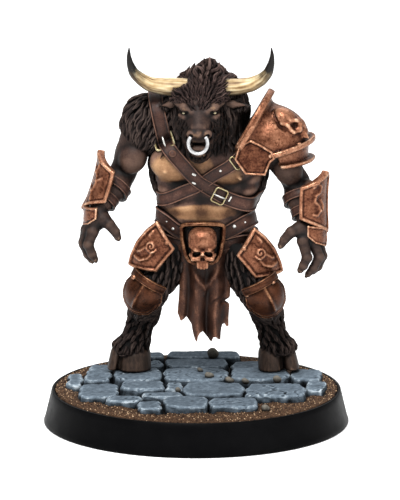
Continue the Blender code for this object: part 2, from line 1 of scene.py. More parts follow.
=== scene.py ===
"""A painted minotaur miniature on its round base, dressed for looks.

The figure is sculpted in millimetres, x to the viewer's right, y back and z up from its soles,
and set down on the paving in metres. It faces -Y.
"""

import random
from math import copysign, cos, exp, hypot, radians, sin, sqrt, tan, tau

import bpy
import numpy as np
from mathutils import Euler, Matrix, Vector
from mathutils.bvhtree import BVHTree
from mathutils.noise import noise


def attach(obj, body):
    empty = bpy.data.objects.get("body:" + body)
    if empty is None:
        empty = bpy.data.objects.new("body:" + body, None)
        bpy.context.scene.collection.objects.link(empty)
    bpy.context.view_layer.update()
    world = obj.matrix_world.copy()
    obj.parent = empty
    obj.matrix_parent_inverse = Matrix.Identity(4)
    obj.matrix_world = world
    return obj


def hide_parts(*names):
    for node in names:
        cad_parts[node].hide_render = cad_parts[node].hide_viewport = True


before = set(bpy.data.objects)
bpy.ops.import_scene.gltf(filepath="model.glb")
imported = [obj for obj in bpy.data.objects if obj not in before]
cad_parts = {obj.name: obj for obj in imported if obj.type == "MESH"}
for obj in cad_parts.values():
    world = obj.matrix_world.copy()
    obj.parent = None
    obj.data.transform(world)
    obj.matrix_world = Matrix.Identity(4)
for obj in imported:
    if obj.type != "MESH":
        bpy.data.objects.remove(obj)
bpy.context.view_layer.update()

# The same driving sizes as the solids', in metres
BASE_DIAMETER = 0.050
BASE_HEIGHT = 0.0055
BASE_TAPER = radians(13.5)
LIP_WIDTH = 0.0005
RECESS_DEPTH = 0.0008
FIT_GAP = 0.00015
STONE_RISE = 0.0018
FIGURE_HEIGHT = 0.0557
SCULPT_HEIGHT = 55.7

UNIT = FIGURE_HEIGHT / SCULPT_HEIGHT
SOLE_LEVEL = BASE_HEIGHT + STONE_RISE + FIT_GAP

# Joints of the pose, in millimetres
HEAD_X = 0.5
CHEST = (2.1, 5.0, 35.2)
WAIST = (1.7, 5.3, 26.6)
PELVIS = (1.3, 5.5, 21.8)
RIGHT_LEG = ((-3.2, 5.6, 21.5), (-8.1, 0.5, 14.3), (-8.6, 7.4, 9.0), (-10.3, 6.0, 4.2))
LEFT_LEG = ((5.8, 5.6, 21.5), (10.8, 0.5, 13.8), (11.7, 7.4, 8.8), (13.1, 6.0, 4.2))


# Paint

# How far the painted shade of hollows looks for other surfaces, in metres, and where painted highlights face
HOLLOW_SHADE_REACH = 0.0026
PAINTED_LIGHT = (-0.12, -0.72, 0.68)

# Nearly all of a cloudy noise lies between these two values
CLOUD_LOW, CLOUD_HIGH = 0.3, 0.7


def tone(red, green, blue):
    """A paint colour from its everyday 0 to 255 values, as the shaders want it."""
    colour = []
    for value in (red, green, blue):
        share = value / 255
        colour.append(((share + 0.055) / 1.055) ** 2.4 if value > 10 else share / 12.92)
    return colour + [1.0]


class Paint:
    """A painted finish whose nodes are laid out as they are asked for."""

    def __init__(self, name, rough, metal=0.0, specular=0.2):
        self.material = bpy.data.materials.new(name)
        self.material.use_nodes = True
        self.tree = self.material.node_tree
        self.shader = self.tree.nodes["Principled BSDF"]
        self.shader.inputs["Roughness"].default_value = rough
        self.shader.inputs["Metallic"].default_value = metal
        self.shader.inputs["Specular IOR Level"].default_value = specular
        self.place = self.tree.nodes.new("ShaderNodeTexCoord").outputs["Object"]

    def node(self, kind, **inputs):
        made = self.tree.nodes.new(kind)
        for name, value in inputs.items():
            self.plug(made.inputs[name.replace("_", " ")], value)
        return made

    def plug(self, socket, value):
        """Links a socket, or sets its value."""
        if isinstance(value, bpy.types.NodeSocket):
            self.tree.links.new(value, socket)
        else:
            socket.default_value = value

    def mark(self, name):
        """One number that the piece's points carry."""
        made = self.tree.nodes.new("ShaderNodeAttribute")
        made.attribute_name = name
        return made.outputs["Fac"]

    def grain(self, size, stretch=None):
        """Cloudy noise whose features are about that many millimetres across."""
        place = self.place
        if stretch:
            mapping = self.node("ShaderNodeMapping", Vector=place)
            mapping.inputs["Scale"].default_value = stretch
            place = mapping.outputs["Vector"]
        made = self.node("ShaderNodeTexNoise", Vector=place, Scale=1000.0 / size, Detail=4.0, Roughness=0.6)
        return made.outputs["Fac"]

    def mottle(self, size, low, high, stretch=None):
        """Cloudy noise that runs from a low to a high value."""
        return self.spread(self.grain(size, stretch), CLOUD_LOW, CLOUD_HIGH, low, high)

    def spread(self, value, low, high, to_low=0.0, to_high=1.0):
        made = self.node("ShaderNodeMapRange")
        made.inputs["Value"].default_value = 0
        self.plug(made.inputs["Value"], value)
        for name, limit in (("From Min", low), ("From Max", high), ("To Min", to_low), ("To Max", to_high)):
            made.inputs[name].default_value = limit
        return made.outputs["Result"]

    def sum(self, *terms, operation="ADD"):
        total = terms[0]
        for term in terms[1:]:
            made = self.tree.nodes.new("ShaderNodeMath")
            made.operation = operation
            self.plug(made.inputs[0], total)
            self.plug(made.inputs[1], term)
            total = made.outputs[0]
        return total

    def ramp(self, factor, stops):
        """Colours along a factor, each stop its place and its everyday red, green and blue."""
        made = self.tree.nodes.new("ShaderNodeValToRGB")
        band = made.color_ramp
        while len(band.elements) < len(stops):
            band.elements.new(0.5)
        for element, (at, *colour) in zip(band.elements, stops):
            element.position = at
            element.color = tone(*colour)
        self.plug(made.inputs["Fac"], factor)
        return made.outputs["Color"]

    def mix(self, factor, first, second, blend="MIX"):
        made = self.tree.nodes.new("ShaderNodeMix")
        made.data_type = "RGBA"
        made.blend_type = blend
        self.plug(made.inputs[0], factor)
        self.plug(made.inputs[6], first)
        self.plug(made.inputs[7], second)
        return made.outputs[2]

    def bump(self, height, depth):
        """Small relief from a 0 to 1 height, that many millimetres deep."""
        made = self.node("ShaderNodeBump", Height=height, Strength=1.0, Distance=depth / 1000)
        self.plug(self.shader.inputs["Normal"], made.outputs["Normal"])

    def colour(self, colour, painted_shade=True):
        """The colour with painted shade in deep places and on what faces down or away."""
        if painted_shade:
            # Painted shade: darker where other surfaces are near, as in hollows, creases and between parts
            deep = self.node("ShaderNodeAmbientOcclusion", Distance=HOLLOW_SHADE_REACH)
            deep.samples = 6
            open_air = self.spread(deep.outputs["AO"], 0.3, 0.92, 0.22, 1.0)
            # Painted light: lighter on what faces PAINTED_LIGHT, painted shade on what faces down or away
            surface = self.tree.nodes.new("ShaderNodeNewGeometry")
            turned = self.tree.nodes.new("ShaderNodeVectorMath")
            turned.operation = "DOT_PRODUCT"
            self.plug(turned.inputs[0], surface.outputs["Normal"])
            turned.inputs[1].default_value = PAINTED_LIGHT
            lit = self.spread(turned.outputs["Value"], -0.35, 0.75, 0.4, 1.08)
            colour = self.mix(1.0, colour, self.sum(open_air, lit, operation="MULTIPLY"), "MULTIPLY")
        self.plug(self.shader.inputs["Base Color"], colour)
        return self.material

    def roughness(self, value):
        self.plug(self.shader.inputs["Roughness"], value)


def layered(name, stops, rough, metal=0.0, worn=0.25, cloud=2.2, grit=0.3, bump=0.03, specular=0.2):
    """Paint that is darkest in the hollows and brushed pale over what stands out."""
    shine = 0.15
    paint = Paint(name, rough, metal, specular)
    height = paint.spread(paint.mark("relief"), -worn, worn, -0.5, 0.5)
    cloudy = paint.mottle(cloud, -0.13, 0.13)
    gritty = paint.mottle(grit, -0.09, 0.09)
    factor = paint.sum(height, cloudy, gritty, 0.5)
    paint.roughness(paint.mottle(cloud * 0.5, rough - shine, rough + shine))
    paint.bump(paint.grain(grit), bump)
    paint.colour(paint.ramp(factor, stops))
    return paint.material


def hide_paint(name="hide paint", light=1.0):
    """Dark brown skin that turns tan over the chest and the belly."""
    paint = Paint(name, 0.6)
    height = paint.spread(paint.mark("relief"), -0.22, 0.22, -0.5, 0.5)
    cloudy = paint.mottle(2.5, -0.14, 0.14)
    gritty = paint.mottle(0.35, -0.06, 0.06)
    factor = paint.sum(height, cloudy, gritty, 0.5)
    brown = paint.ramp(factor, (
        (0, 9, 6, 5), (0.36, 34 * light, 24 * light, 21 * light),
        (0.6, 70 * light, 49 * light, 42 * light), (1, 136 * light, 104 * light, 88 * light),
    ))
    pale = paint.ramp(factor, (
        (0, 28, 16, 10), (0.35, 92, 62, 42), (0.6, 146, 107, 75), (1, 204, 162, 122),
    ))
    edge = paint.sum(paint.mark("tan"), paint.mottle(1.6, -0.18, 0.18))
    paint.bump(paint.grain(0.3), 0.02)
    return paint.colour(paint.mix(paint.spread(edge, 0.25, 0.75), brown, pale))


def fur_paint(name, root, body, tip):
    """Hair that is near black between the locks and paler on their backs and tips."""
    paint = Paint(name, 0.7, specular=0.15)
    ridge = paint.spread(paint.mark("relief"), -0.12, 0.3, -0.36, 0.34)
    cloudy = paint.mottle(1.8, -0.16, 0.16)
    factor = paint.sum(paint.spread(paint.mark("along"), 0.0, 0.9, -0.08, 0.46), ridge, cloudy)
    paint.bump(paint.grain(0.2), 0.02)
    return paint.colour(paint.ramp(factor, ((0.0, *root), (0.45, *body), (1.0, *tip))))


def horn_paint():
    """Cream horn with long brown streaks, browner underneath, and a black tip."""
    paint = Paint("horn paint", 0.42)
    streak = paint.spread(paint.mark("groove"), 0.2, 0.95, -0.05, 0.85)
    cloudy = paint.mottle(1.2, -0.1, 0.16)
    cream = paint.ramp(paint.sum(streak, cloudy), (
        (0, 222, 205, 168), (0.35, 180, 154, 112), (0.7, 110, 82, 54), (1, 44, 31, 23),
    ))
    tip = paint.sum(paint.mark("along"), paint.mottle(0.9, -0.05, 0.05))
    under = paint.spread(paint.mark("under"), 0.1, 0.8, 0.0, 0.85)
    shaded = paint.mix(under, cream, tone(66, 47, 31))
    return paint.colour(paint.mix(paint.spread(tip, 0.5, 0.74), shaded, tone(22, 19, 18)))


def hoof_paint():
    """Grey-brown hoof with upright streaks."""
    paint = Paint("hoof paint", 0.5)
    streaks = paint.mottle(0.5, 0.0, 0.45, stretch=(1.0, 1.0, 0.12))
    height = paint.spread(paint.mark("relief"), -0.25, 0.25, -0.3, 0.3)
    return paint.colour(paint.ramp(paint.sum(height, streaks, 0.18), (
        (0, 10, 7, 5), (0.4, 46, 34, 27), (0.7, 72, 55, 45), (1, 128, 104, 86),
    )))


def sand_paint():
    """Brown sand, each grain of its own shade."""
    paint = Paint("sand paint", 0.85)
    shade = paint.sum(paint.mark("shade"), paint.mottle(0.6, -0.15, 0.15))
    return paint.colour(paint.ramp(shade, (
        (0, 30, 20, 14), (0.45, 84, 60, 42), (0.75, 136, 104, 76), (1, 222, 188, 150),
    )))


def base_paint():
    """Satin black plastic with the faintest mottle."""
    paint = Paint("base black", 0.5, specular=0.04)
    paint.roughness(paint.mottle(3.0, 0.38, 0.5))
    paint.bump(paint.grain(0.4), 0.006)
    return paint.colour(paint.ramp(paint.grain(4.0), ((0.3, 4, 4, 5), (0.7, 8, 8, 9))))


def make_paints():
    bronze = (
        (0, 20, 9, 6), (0.3, 74, 39, 25), (0.52, 122, 77, 55),
        (0.78, 170, 120, 92), (1, 226, 184, 152),
    )
    dark_bronze = (
        (0, 14, 7, 4), (0.35, 48, 26, 15), (0.6, 80, 45, 27), (1, 196, 144, 106),
    )
    leather = (
        (0, 8, 5, 5), (0.38, 46, 29, 24), (0.6, 70, 46, 38), (1, 126, 92, 76),
    )
    cloth = (
        (0, 12, 7, 5), (0.35, 36, 20, 14), (0.6, 66, 40, 29), (1, 146, 102, 80),
    )
    stone = (
        (0, 16, 17, 19), (0.3, 60, 68, 75), (0.5, 90, 101, 111), (0.68, 112, 125, 136),
        (0.95, 190, 201, 208),
    )
    rubble = (
        (0, 19, 17, 15), (0.5, 60, 56, 50), (1, 112, 107, 98),
    )
    brass = ((0, 50, 38, 20), (0.5, 150, 130, 84), (1, 240, 230, 190))
    silver = ((0, 60, 57, 54), (0.5, 150, 147, 140), (1, 230, 228, 222))
    ring_steel = ((0, 50, 50, 50), (0.45, 128, 128, 128), (0.9, 206, 206, 206))
    return {
        "hide": hide_paint(),
        "face": hide_paint("face paint", 0.66),
        "arm hide": hide_paint("arm hide paint", 0.74),
        "dark hide": hide_paint("dark hide paint", 0.54),
        "fur": fur_paint("fur paint", (5, 4, 4), (36, 27, 25), (98, 82, 75)),
        "cheek fur": fur_paint("cheek fur paint", (4, 3, 3), (26, 18, 15), (74, 50, 38)),
        "crest fur": fur_paint("crest fur paint", (5, 4, 4), (48, 34, 31), (122, 100, 92)),
        "leg fur": fur_paint("leg fur paint", (8, 6, 6), (44, 34, 31), (98, 82, 74)),
        "horn": horn_paint(),
        "hoof": hoof_paint(),
        "bronze": layered("bronze paint", bronze, 0.34, 0.6, worn=0.42, cloud=1.4, grit=0.35, bump=0.07),
        "dark bronze": layered("dark bronze paint", dark_bronze, 0.34, 0.5, worn=0.55, cloud=2.0),
        "leather": layered("leather paint", leather, 0.5, worn=0.3, cloud=1.4, grit=0.25),
        "cloth": layered("cloth paint", cloth, 0.5, worn=0.5, cloud=1.8, grit=0.25),
        "stone": layered("stone paint", stone, 0.9, worn=0.26, cloud=0.8, grit=0.14, specular=0.04),
        "rubble": layered("rubble paint", rubble, 0.8, worn=0.2, cloud=0.8, grit=0.2),
        "brass": layered("brass paint", brass, 0.3, 0.7, worn=0.2, cloud=1.0, grit=0.2, bump=0.005),
        "silver": layered("silver paint", silver, 0.3, 0.4, worn=0.2, cloud=1.0, grit=0.2, bump=0.005),
        "ring steel": layered(
            "ring steel paint", ring_steel, 0.25, 0.3, worn=0.2, cloud=0.7, grit=0.2, bump=0.005,
        ),
        "sand": sand_paint(),
        "base": base_paint(),
        "eye": layered(
            "eye paint", ((0, 150, 110, 40), (0.6, 226, 200, 130), (1, 255, 245, 214)),
            0.2, cloud=0.6, bump=0.0,
        ),
    }


# Clay: shapes pressed together on a grid of distances

def soft_min(a, b, soft):
    """The nearer of two distances, with a fillet that many millimetres wide where they are alike."""
    if soft <= 0:
        return np.minimum(a, b)
    near = np.maximum(soft - np.abs(a - b), 0) / soft
    return np.minimum(a, b) - near * near * soft / 4


def soft_max(a, b, soft):
    return -soft_min(-a, -b, soft)


def from_ellipsoid(x, y, z, radii):
    """The distance to an ellipsoid round the origin, near its surface."""
    outer = np.sqrt((x / radii[0]) ** 2 + (y / radii[1]) ** 2 + (z / radii[2]) ** 2)
    slope = np.sqrt((x / radii[0] ** 2) ** 2 + (y / radii[1] ** 2) ** 2 + (z / radii[2] ** 2) ** 2)
    return outer * (outer - 1) / np.maximum(slope, 1e-6)


def past_plane(x, y, z, point, normal):
    """The distance past a plane through the point, on the side that the normal points to."""
    normal = np.array(normal, float) / np.linalg.norm(normal)
    return (x - point[0]) * normal[0] + (y - point[1]) * normal[1] + (z - point[2]) * normal[2]


def unturning(turn):
    """The three rows that undo a turn by three angles in degrees."""
    return np.array(Euler([radians(a) for a in turn]).to_matrix()).T


class Clay:
    """A block of clay: a signed distance in millimetres, below zero inside, that shapes are pressed into."""

    EMPTY = 3.0

    def __init__(self, low, high, cell):
        self.low = np.array(low, float)
        self.cell = cell
        count = np.ceil((np.array(high) - self.low) / cell).astype(int) + 1
        self.axes = [self.low[k] + np.arange(count[k]) * cell for k in range(3)]
        self.depth = np.full(count, self.EMPTY, np.float32)

    def window(self, low, high):
        """The part of the grid between two corners, and its x, y and z."""
        cuts = []
        for k in range(3):
            first = int((low[k] - self.low[k]) / self.cell) - 1
            last = int((high[k] - self.low[k]) / self.cell) + 3
            cuts.append(slice(max(first, 0), max(last, 0)))
        x, y, z = (axis[cut] for axis, cut in zip(self.axes, cuts))
        return tuple(cuts), x[:, None, None], y[None, :, None], z[None, None, :]

    def press(self, cuts, shape, soft, cut):
        here = self.depth[cuts]
        self.depth[cuts] = soft_max(here, -shape, soft) if cut else soft_min(here, shape, soft)

    def ball(self, centre, radii, turn=None, soft=0.6, cut=False):
        """An ellipsoid, turned by three angles in degrees."""
        centre, radii = np.array(centre, float), np.array(radii, float) * np.ones(3)
        reach = radii.max() if turn else radii
        cuts, x, y, z = self.window(centre - reach - soft, centre + reach + soft)
        x, y, z = x - centre[0], y - centre[1], z - centre[2]
        if turn:
            x, y, z = (row[0] * x + row[1] * y + row[2] * z for row in unturning(turn))
        self.press(cuts, from_ellipsoid(x, y, z, radii), soft, cut)

    def limb(self, points, radii, soft=0.6, cut=False):
        """A round limb through the points, with a radius at each."""
        points = [np.array(p, float) for p in points]
        radii = list(radii) if hasattr(radii, "__len__") else [radii] * len(points)
        for a, b, wide, thin in zip(points, points[1:], radii, radii[1:]):
            reach = max(wide, thin) + soft
            cuts, x, y, z = self.window(np.minimum(a, b) - reach, np.maximum(a, b) + reach)
            along = b - a
            x, y, z = x - a[0], y - a[1], z - a[2]
            t = np.clip((x * along[0] + y * along[1] + z * along[2]) / (along @ along + 1e-9), 0, 1)
            away = np.sqrt((x - t * along[0]) ** 2 + (y - t * along[1]) ** 2 + (z - t * along[2]) ** 2)
            self.press(cuts, away - (wide + (thin - wide) * t), soft, cut)

    def slab(self, centre, half, turn=(0, 0, 0), corner=0.3, soft=0.4, cut=False):
        """A box with rounded corners, turned by three angles in degrees."""
        centre, half = np.array(centre, float), np.array(half, float)
        reach = np.linalg.norm(half) + soft
        cuts, x, y, z = self.window(centre - reach, centre + reach)
        x, y, z = x - centre[0], y - centre[1], z - centre[2]
        rows = unturning(turn)
        sides = [np.abs(row[0] * x + row[1] * y + row[2] * z) - h + corner for row, h in zip(rows, half)]
        outside = np.sqrt(sum(np.maximum(s, 0) ** 2 for s in sides))
        inside = np.minimum(np.maximum(np.maximum(sides[0], sides[1]), sides[2]), 0)
        self.press(cuts, outside + inside - corner, soft, cut)

    def cap(self, centre, radii, cuts, soft=0.1):
        """What some cutting planes, each a point and an outward normal, leave of an ellipsoid."""
        centre, radii = np.array(centre, float), np.array(radii, float)
        window, x, y, z = self.window(centre - radii - 0.5, centre + radii + 0.5)
        shape = from_ellipsoid(x - centre[0], y - centre[1], z - centre[2], radii)
        for point, normal in cuts:
            shape = soft_max(shape, past_plane(x, y, z, point, normal), 0.25)
        self.press(window, shape, soft, False)

    def trunk(self, top, sole, height, soft=0.2):
        """A hoof's wall: an oval that grows from its top to its sole, each its middle and its half sizes."""
        low = np.array([min(end[k] - end[k + 2] for end in (top, sole)) for k in (0, 1)] + [-0.4])
        high = np.array([max(end[k] + end[k + 2] for end in (top, sole)) for k in (0, 1)] + [height])
        cuts, x, y, z = self.window(low - 0.6, high + 0.6)
        share = np.clip(z / height, 0, 1)
        cx, cy, rx, ry = (s + (t - s) * share for t, s in zip(top, sole))
        toe = np.hypot((x - cx) / rx, (y - cy) / ry)
        shape = (toe - 1) * np.minimum(rx, ry)
        shape = soft_max(soft_max(shape, z - height, 1.6), -z, 0.25)
        self.press(cuts, shape, soft, False)

    def trim(self, point, normal, soft=0.1):
        """Cuts off what is on the outer side of a plane."""
        _, x, y, z = self.window(self.low, [a[-1] for a in self.axes])
        self.depth = soft_max(self.depth, past_plane(x, y, z, point, normal), soft)

    def skin(self):
        """The clay's surface as points in millimetres and four-sided faces."""
        points, faces = wrap(self.depth)
        return points * self.cell + self.low, faces


def wrap(depth):
    """The surface where a grid of distances crosses zero: one point for each cell that it crosses."""
    inside = depth < 0
    size = np.array(depth.shape) - 1
    corners = [(i, j, k) for i in (0, 1) for j in (0, 1) for k in (0, 1)]
    filled = sum(inside[i:size[0] + i, j:size[1] + j, k:size[2] + k].astype(np.int8) for i, j, k in corners)
    cells = np.argwhere((filled > 0) & (filled < 8))
    number = np.full(size, -1, np.int32)
    number[tuple(cells.T)] = np.arange(len(cells))
    value = {c: depth[tuple((cells + c).T)].astype(float) for c in corners}
    total, hits = np.zeros((len(cells), 3)), np.zeros(len(cells))
    for a in corners:
        for axis in range(3):
            if a[axis]:
                continue
            b = tuple(1 if k == axis else a[k] for k in range(3))
            crossed = (value[a] < 0) != (value[b] < 0)
            gap = np.where(crossed, value[a] - value[b], 1)
            at = np.array(a, float) + (np.where(crossed, value[a] / gap, 0))[:, None] * np.eye(3)[axis]
            total += at * crossed[:, None]
            hits += crossed
    faces = []
    for axis in range(3):
        ahead, behind = [slice(None)] * 3, [slice(None)] * 3
        ahead[axis], behind[axis] = slice(1, None), slice(None, -1)
        first, second = inside[tuple(behind)], inside[tuple(ahead)]
        u, v = np.eye(3, dtype=int)[(axis + 1) % 3], np.eye(3, dtype=int)[(axis + 2) % 3]
        for leaving in (True, False):
            at = np.argwhere(first & ~second if leaving else second & ~first)
            at = at[(at @ u > 0) & (at @ v > 0) & (at @ u < size @ u) & (at @ v < size @ v)]
            quad = [number[tuple((at - s).T)] for s in (u + v, v, 0 * u, u)]
            faces.append(np.stack(quad if leaving else quad[::-1], 1))
    return cells + total / hits[:, None], np.concatenate(faces)


# Pieces

pieces = {}


def set_down(points):
    """Figure millimetres to metres on the paving."""
    return np.asarray(points, float) * UNIT + np.array((0, 0, SOLE_LEVEL))


def marked(mesh, name, values):
    layer = mesh.attributes.new(name, "FLOAT", "POINT")
    layer.data.foreach_set("value", np.asarray(values, np.float32))


def mark_relief(mesh, reach, shade=0):
    """Marks how far each point stands out of the surface within that many millimetres, as a share of it."""
    count = len(mesh.vertices)
    place, normal = np.empty(count * 3), np.empty(count * 3)
    mesh.vertices.foreach_get("co", place)
    mesh.vertices.foreach_get("normal", normal)
    place, normal = place.reshape(-1, 3) * 1000, normal.reshape(-1, 3)
    edges = np.empty(len(mesh.edges) * 2, np.int32)
    mesh.edges.foreach_get("vertices", edges)
    a, b = edges.reshape(-1, 2).T
    degree = np.maximum(np.bincount(a, minlength=count) + np.bincount(b, minlength=count), 1)
    step = np.linalg.norm(place[a] - place[b], axis=1).mean()
    flat = place.copy()
    for _ in range(int(np.clip(2 * (reach / step) ** 2, 2, 70))):
        near = np.stack([
            np.bincount(a, flat[b, k], minlength=count) + np.bincount(b, flat[a, k], minlength=count)
            for k in range(3)
        ], 1) / degree[:, None]
        flat = (flat + near) / 2
    marked(mesh, "relief", ((place - flat) * normal).sum(1) / reach + shade)


def as_rows(faces):
    """Faces as plain lists."""
    return faces.tolist() if hasattr(faces, "tolist") else faces


def placed(name, data):
    """A new object in the scene for a mesh, a curve, a lamp or a camera."""
    made = bpy.data.objects.new(name, data)
    bpy.context.scene.collection.objects.link(made)
    return made


def keep(piece, slot, node):
    """Notes a finished piece, its record slot and the solid that it stands for."""
    pieces[piece.name] = (piece, slot, node)
    return piece


def solid(name, points, faces, paint, slot, reach=0.5, marks=None, node="minotaur_figure", metres=False,
          shade=0, relief=None):
    """A smooth piece from points and faces."""
    mesh = bpy.data.meshes.new(name)
    mesh.from_pydata(points if metres else set_down(points), [], as_rows(faces))
    mesh.validate()
    mesh.materials.append(paints[paint])
    mesh.shade_smooth()
    piece = placed(name, mesh)
    for mark, values in (marks or {}).items():
        marked(mesh, mark, values)
    if relief is None:
        mark_relief(mesh, reach, shade)
    else:
        marked(mesh, "relief", relief)
    return keep(piece, slot, node)


def gathered(parts):
    """Several lists of points and faces as one."""
    points, faces, start = [], [], 0
    for part_points, part_faces in parts:
        points.append(np.asarray(part_points, float))
        faces.extend([[i + start for i in face] for face in as_rows(part_faces)])
        start += len(part_points)
    return np.concatenate(points), faces


def leather(name, part):
    """A strap as a finished piece."""
    points, faces, relief = part
    return solid(name, points, faces, "leather", "leather", relief=relief)


# Node trees for what repeats or follows a path

def new_tree(name, inputs):
    """A tree with named inputs, each a socket kind and its usual value."""
    tree = bpy.data.node_groups.new(name, "GeometryNodeTree")
    tree.interface.new_socket("Geometry", in_out="INPUT", socket_type="NodeSocketGeometry")
    tree.interface.new_socket("Geometry", in_out="OUTPUT", socket_type="NodeSocketGeometry")
    for label, (kind, usual) in inputs.items():
        socket = tree.interface.new_socket(label, in_out="INPUT", socket_type="NodeSocket" + kind)
        if usual is not None:
            socket.default_value = usual
    return tree, tree.nodes.new("NodeGroupInput"), tree.nodes.new("NodeGroupOutput")


def planted(tree, kind, settings=None, **inputs):
    """A node with its settings and inputs; n0, n1 and so on are sockets by their number."""
    made = tree.nodes.new(kind)
    for name, value in (settings or {}).items():
        setattr(made, name, value)
    for name, value in inputs.items():
        numbered = name[0] == "n" and name[1:].isdigit()
        socket = made.inputs[int(name[1:]) if numbered else name.replace("_", " ")]
        if isinstance(value, bpy.types.NodeSocket):
            tree.links.new(value, socket)
        else:
            socket.default_value = value
    return made


def finish_tree(tree, group_in, group_out, geometry):
    real = planted(tree, "GeometryNodeRealizeInstances", Geometry=geometry)
    coated = planted(
        tree, "GeometryNodeSetMaterial", Geometry=real.outputs[0], Material=group_in.outputs["Material"]
    )
    tree.links.new(coated.outputs[0], group_out.inputs[0])
    return tree


def lock_tree():
    """Sweeps a ridged section along every guide, so that each becomes a pointed lock of hair."""
    tree, start, end = new_tree("lock of hair", {
        "Strands": ("Int", 4), "Groove": ("Float", 0.66), "Material": ("Material", None),
    })
    section = planted(
        tree, "GeometryNodeCurveStar", Points=start.outputs["Strands"], Inner_Radius=start.outputs["Groove"],
        Outer_Radius=1.0, Twist=0.0,
    )
    along = planted(tree, "GeometryNodeSplineParameter")
    told = planted(
        tree, "GeometryNodeStoreNamedAttribute", Geometry=start.outputs["Geometry"], Name="along",
        Value=along.outputs["Factor"],
    )
    wide = planted(tree, "GeometryNodeInputRadius")
    swept = planted(
        tree, "GeometryNodeCurveToMesh", Curve=told.outputs[0], Profile_Curve=section.outputs["Curve"],
        Scale=wide.outputs[0], Fill_Caps=True,
    )
    smooth = planted(tree, "GeometryNodeSetShadeSmooth", Geometry=swept.outputs[0])
    return finish_tree(tree, start, end, smooth.outputs[0])


def stud_tree():
    """Sets a low dome on every point, facing along the point's normal."""
    tree, start, end = new_tree("studs", {
        "Segments": ("Int", 12), "Flatness": ("Float", 0.75), "Material": ("Material", None),
    })
    dome = planted(tree, "GeometryNodeMeshUVSphere", Segments=start.outputs["Segments"], Rings=7, Radius=1.0)
    low = planted(tree, "ShaderNodeCombineXYZ", X=1.0, Y=1.0, Z=start.outputs["Flatness"])
    squashed = planted(tree, "GeometryNodeTransform", Geometry=dome.outputs["Mesh"], Scale=low.outputs[0])
    facing_way = planted(
        tree, "GeometryNodeInputNamedAttribute", {"data_type": "FLOAT_VECTOR"}, Name="facing",
    )
    size = planted(tree, "GeometryNodeInputNamedAttribute", Name="size")
    turn = planted(
        tree, "FunctionNodeAlignRotationToVector", {"axis": "Z"}, Vector=facing_way.outputs["Attribute"],
    )
    put = planted(
        tree, "GeometryNodeInstanceOnPoints", Points=start.outputs["Geometry"], Instance=squashed.outputs[0],
        Rotation=turn.outputs[0], Scale=size.outputs["Attribute"],
    )
    smooth = planted(tree, "GeometryNodeSetShadeSmooth", Geometry=put.outputs[0])
    return finish_tree(tree, start, end, smooth.outputs[0])


def grain_tree():
    """Strews grains over a surface, denser where the surface is marked for them."""
    tree, start, end = new_tree("sand grains", {
        "Grain size": ("Float", 0.00026), "Spacing": ("Float", 0.00026), "Density": ("Float", 1.0e7),
        "Seed": ("Int", 3), "Material": ("Material", None),
    })
    thick = planted(tree, "GeometryNodeInputNamedAttribute", Name="sandy")
    strewn = planted(
        tree, "GeometryNodeDistributePointsOnFaces", {"distribute_method": "POISSON"},
        Mesh=start.outputs["Geometry"], Distance_Min=start.outputs["Spacing"],
        Density_Max=start.outputs["Density"], Density_Factor=thick.outputs["Attribute"],
        Seed=start.outputs["Seed"],
    )
    grain = planted(tree, "GeometryNodeMeshIcoSphere", Radius=0.5, Subdivisions=1)
    turned = planted(
        tree, "FunctionNodeRandomValue", {"data_type": "FLOAT_VECTOR"}, n0=(-3.1, -3.1, -3.1),
        n1=(3.1, 3.1, 3.1),
        Seed=11,
    )
    shade = planted(tree, "FunctionNodeRandomValue", n2=0.0, n3=1.0, Seed=5)
    told = planted(
        tree, "GeometryNodeStoreNamedAttribute", Geometry=strewn.outputs["Points"], Name="shade",
        Value=shade.outputs[1],
    )
    lumpy = planted(
        tree, "FunctionNodeRandomValue", {"data_type": "FLOAT_VECTOR"}, n0=(0.6, 0.6, 0.45),
        n1=(1.35, 1.35, 1.0),
        Seed=23,
    )
    size = planted(
        tree, "ShaderNodeVectorMath", {"operation": "SCALE"}, Vector=lumpy.outputs[0],
        Scale=start.outputs["Grain size"],
    )
    put = planted(
        tree, "GeometryNodeInstanceOnPoints", Points=told.outputs[0], Instance=grain.outputs["Mesh"],
        Rotation=turned.outputs[0], Scale=size.outputs[0],
    )
    return finish_tree(tree, start, end, put.outputs[0])


def grown(name, source, tree, settings, slot, node="minotaur_figure", reach=0.25):
    """Runs a tree on a source object and keeps what it makes as a plain mesh."""
    work = source.modifiers.new(name, "NODES")
    work.node_group = tree
    for socket in tree.interface.items_tree:
        if socket.in_out == "INPUT" and socket.name in settings:
            work[socket.identifier] = settings[socket.name]
    graph = bpy.context.evaluated_depsgraph_get()
    mesh = bpy.data.meshes.new_from_object(source.evaluated_get(graph))
    mesh.name = name
    bpy.data.objects.remove(source)
    piece = placed(name, mesh)
    mark_relief(mesh, reach)
    return keep(piece, slot, node)


# Hair

def skin_tree(points, faces):
    """The surface to plant on, in millimetres."""
    return BVHTree.FromPolygons(points.tolist(), as_rows(faces))


def skinned(points, faces):
    """A surface together with the tree that finds places on it."""
    return points, faces, skin_tree(points, faces)


# Steps to a cell of the search grid and to those round it
AROUND = [(a, b, c) for a in (-1, 0, 1) for b in (-1, 0, 1) for c in (-1, 0, 1)]


def strewn_roots(points, spacing, chosen, seed):
    """Points of a skin, no two nearer than the spacing, where the test of x, y and z is met."""
    order = np.random.default_rng(seed).permutation(len(points))
    taken, roots = {}, []
    for i in order:
        p = points[i]
        cell = tuple(int(c // spacing) for c in p)
        around = [(cell[0] + a, cell[1] + b, cell[2] + c) for a, b, c in AROUND]
        if any(np.sum((taken[k] - p) ** 2) < spacing ** 2 for k in around if k in taken) or not chosen(*p):
            continue
        taken[cell] = p
        roots.append(Vector(p))
    return roots


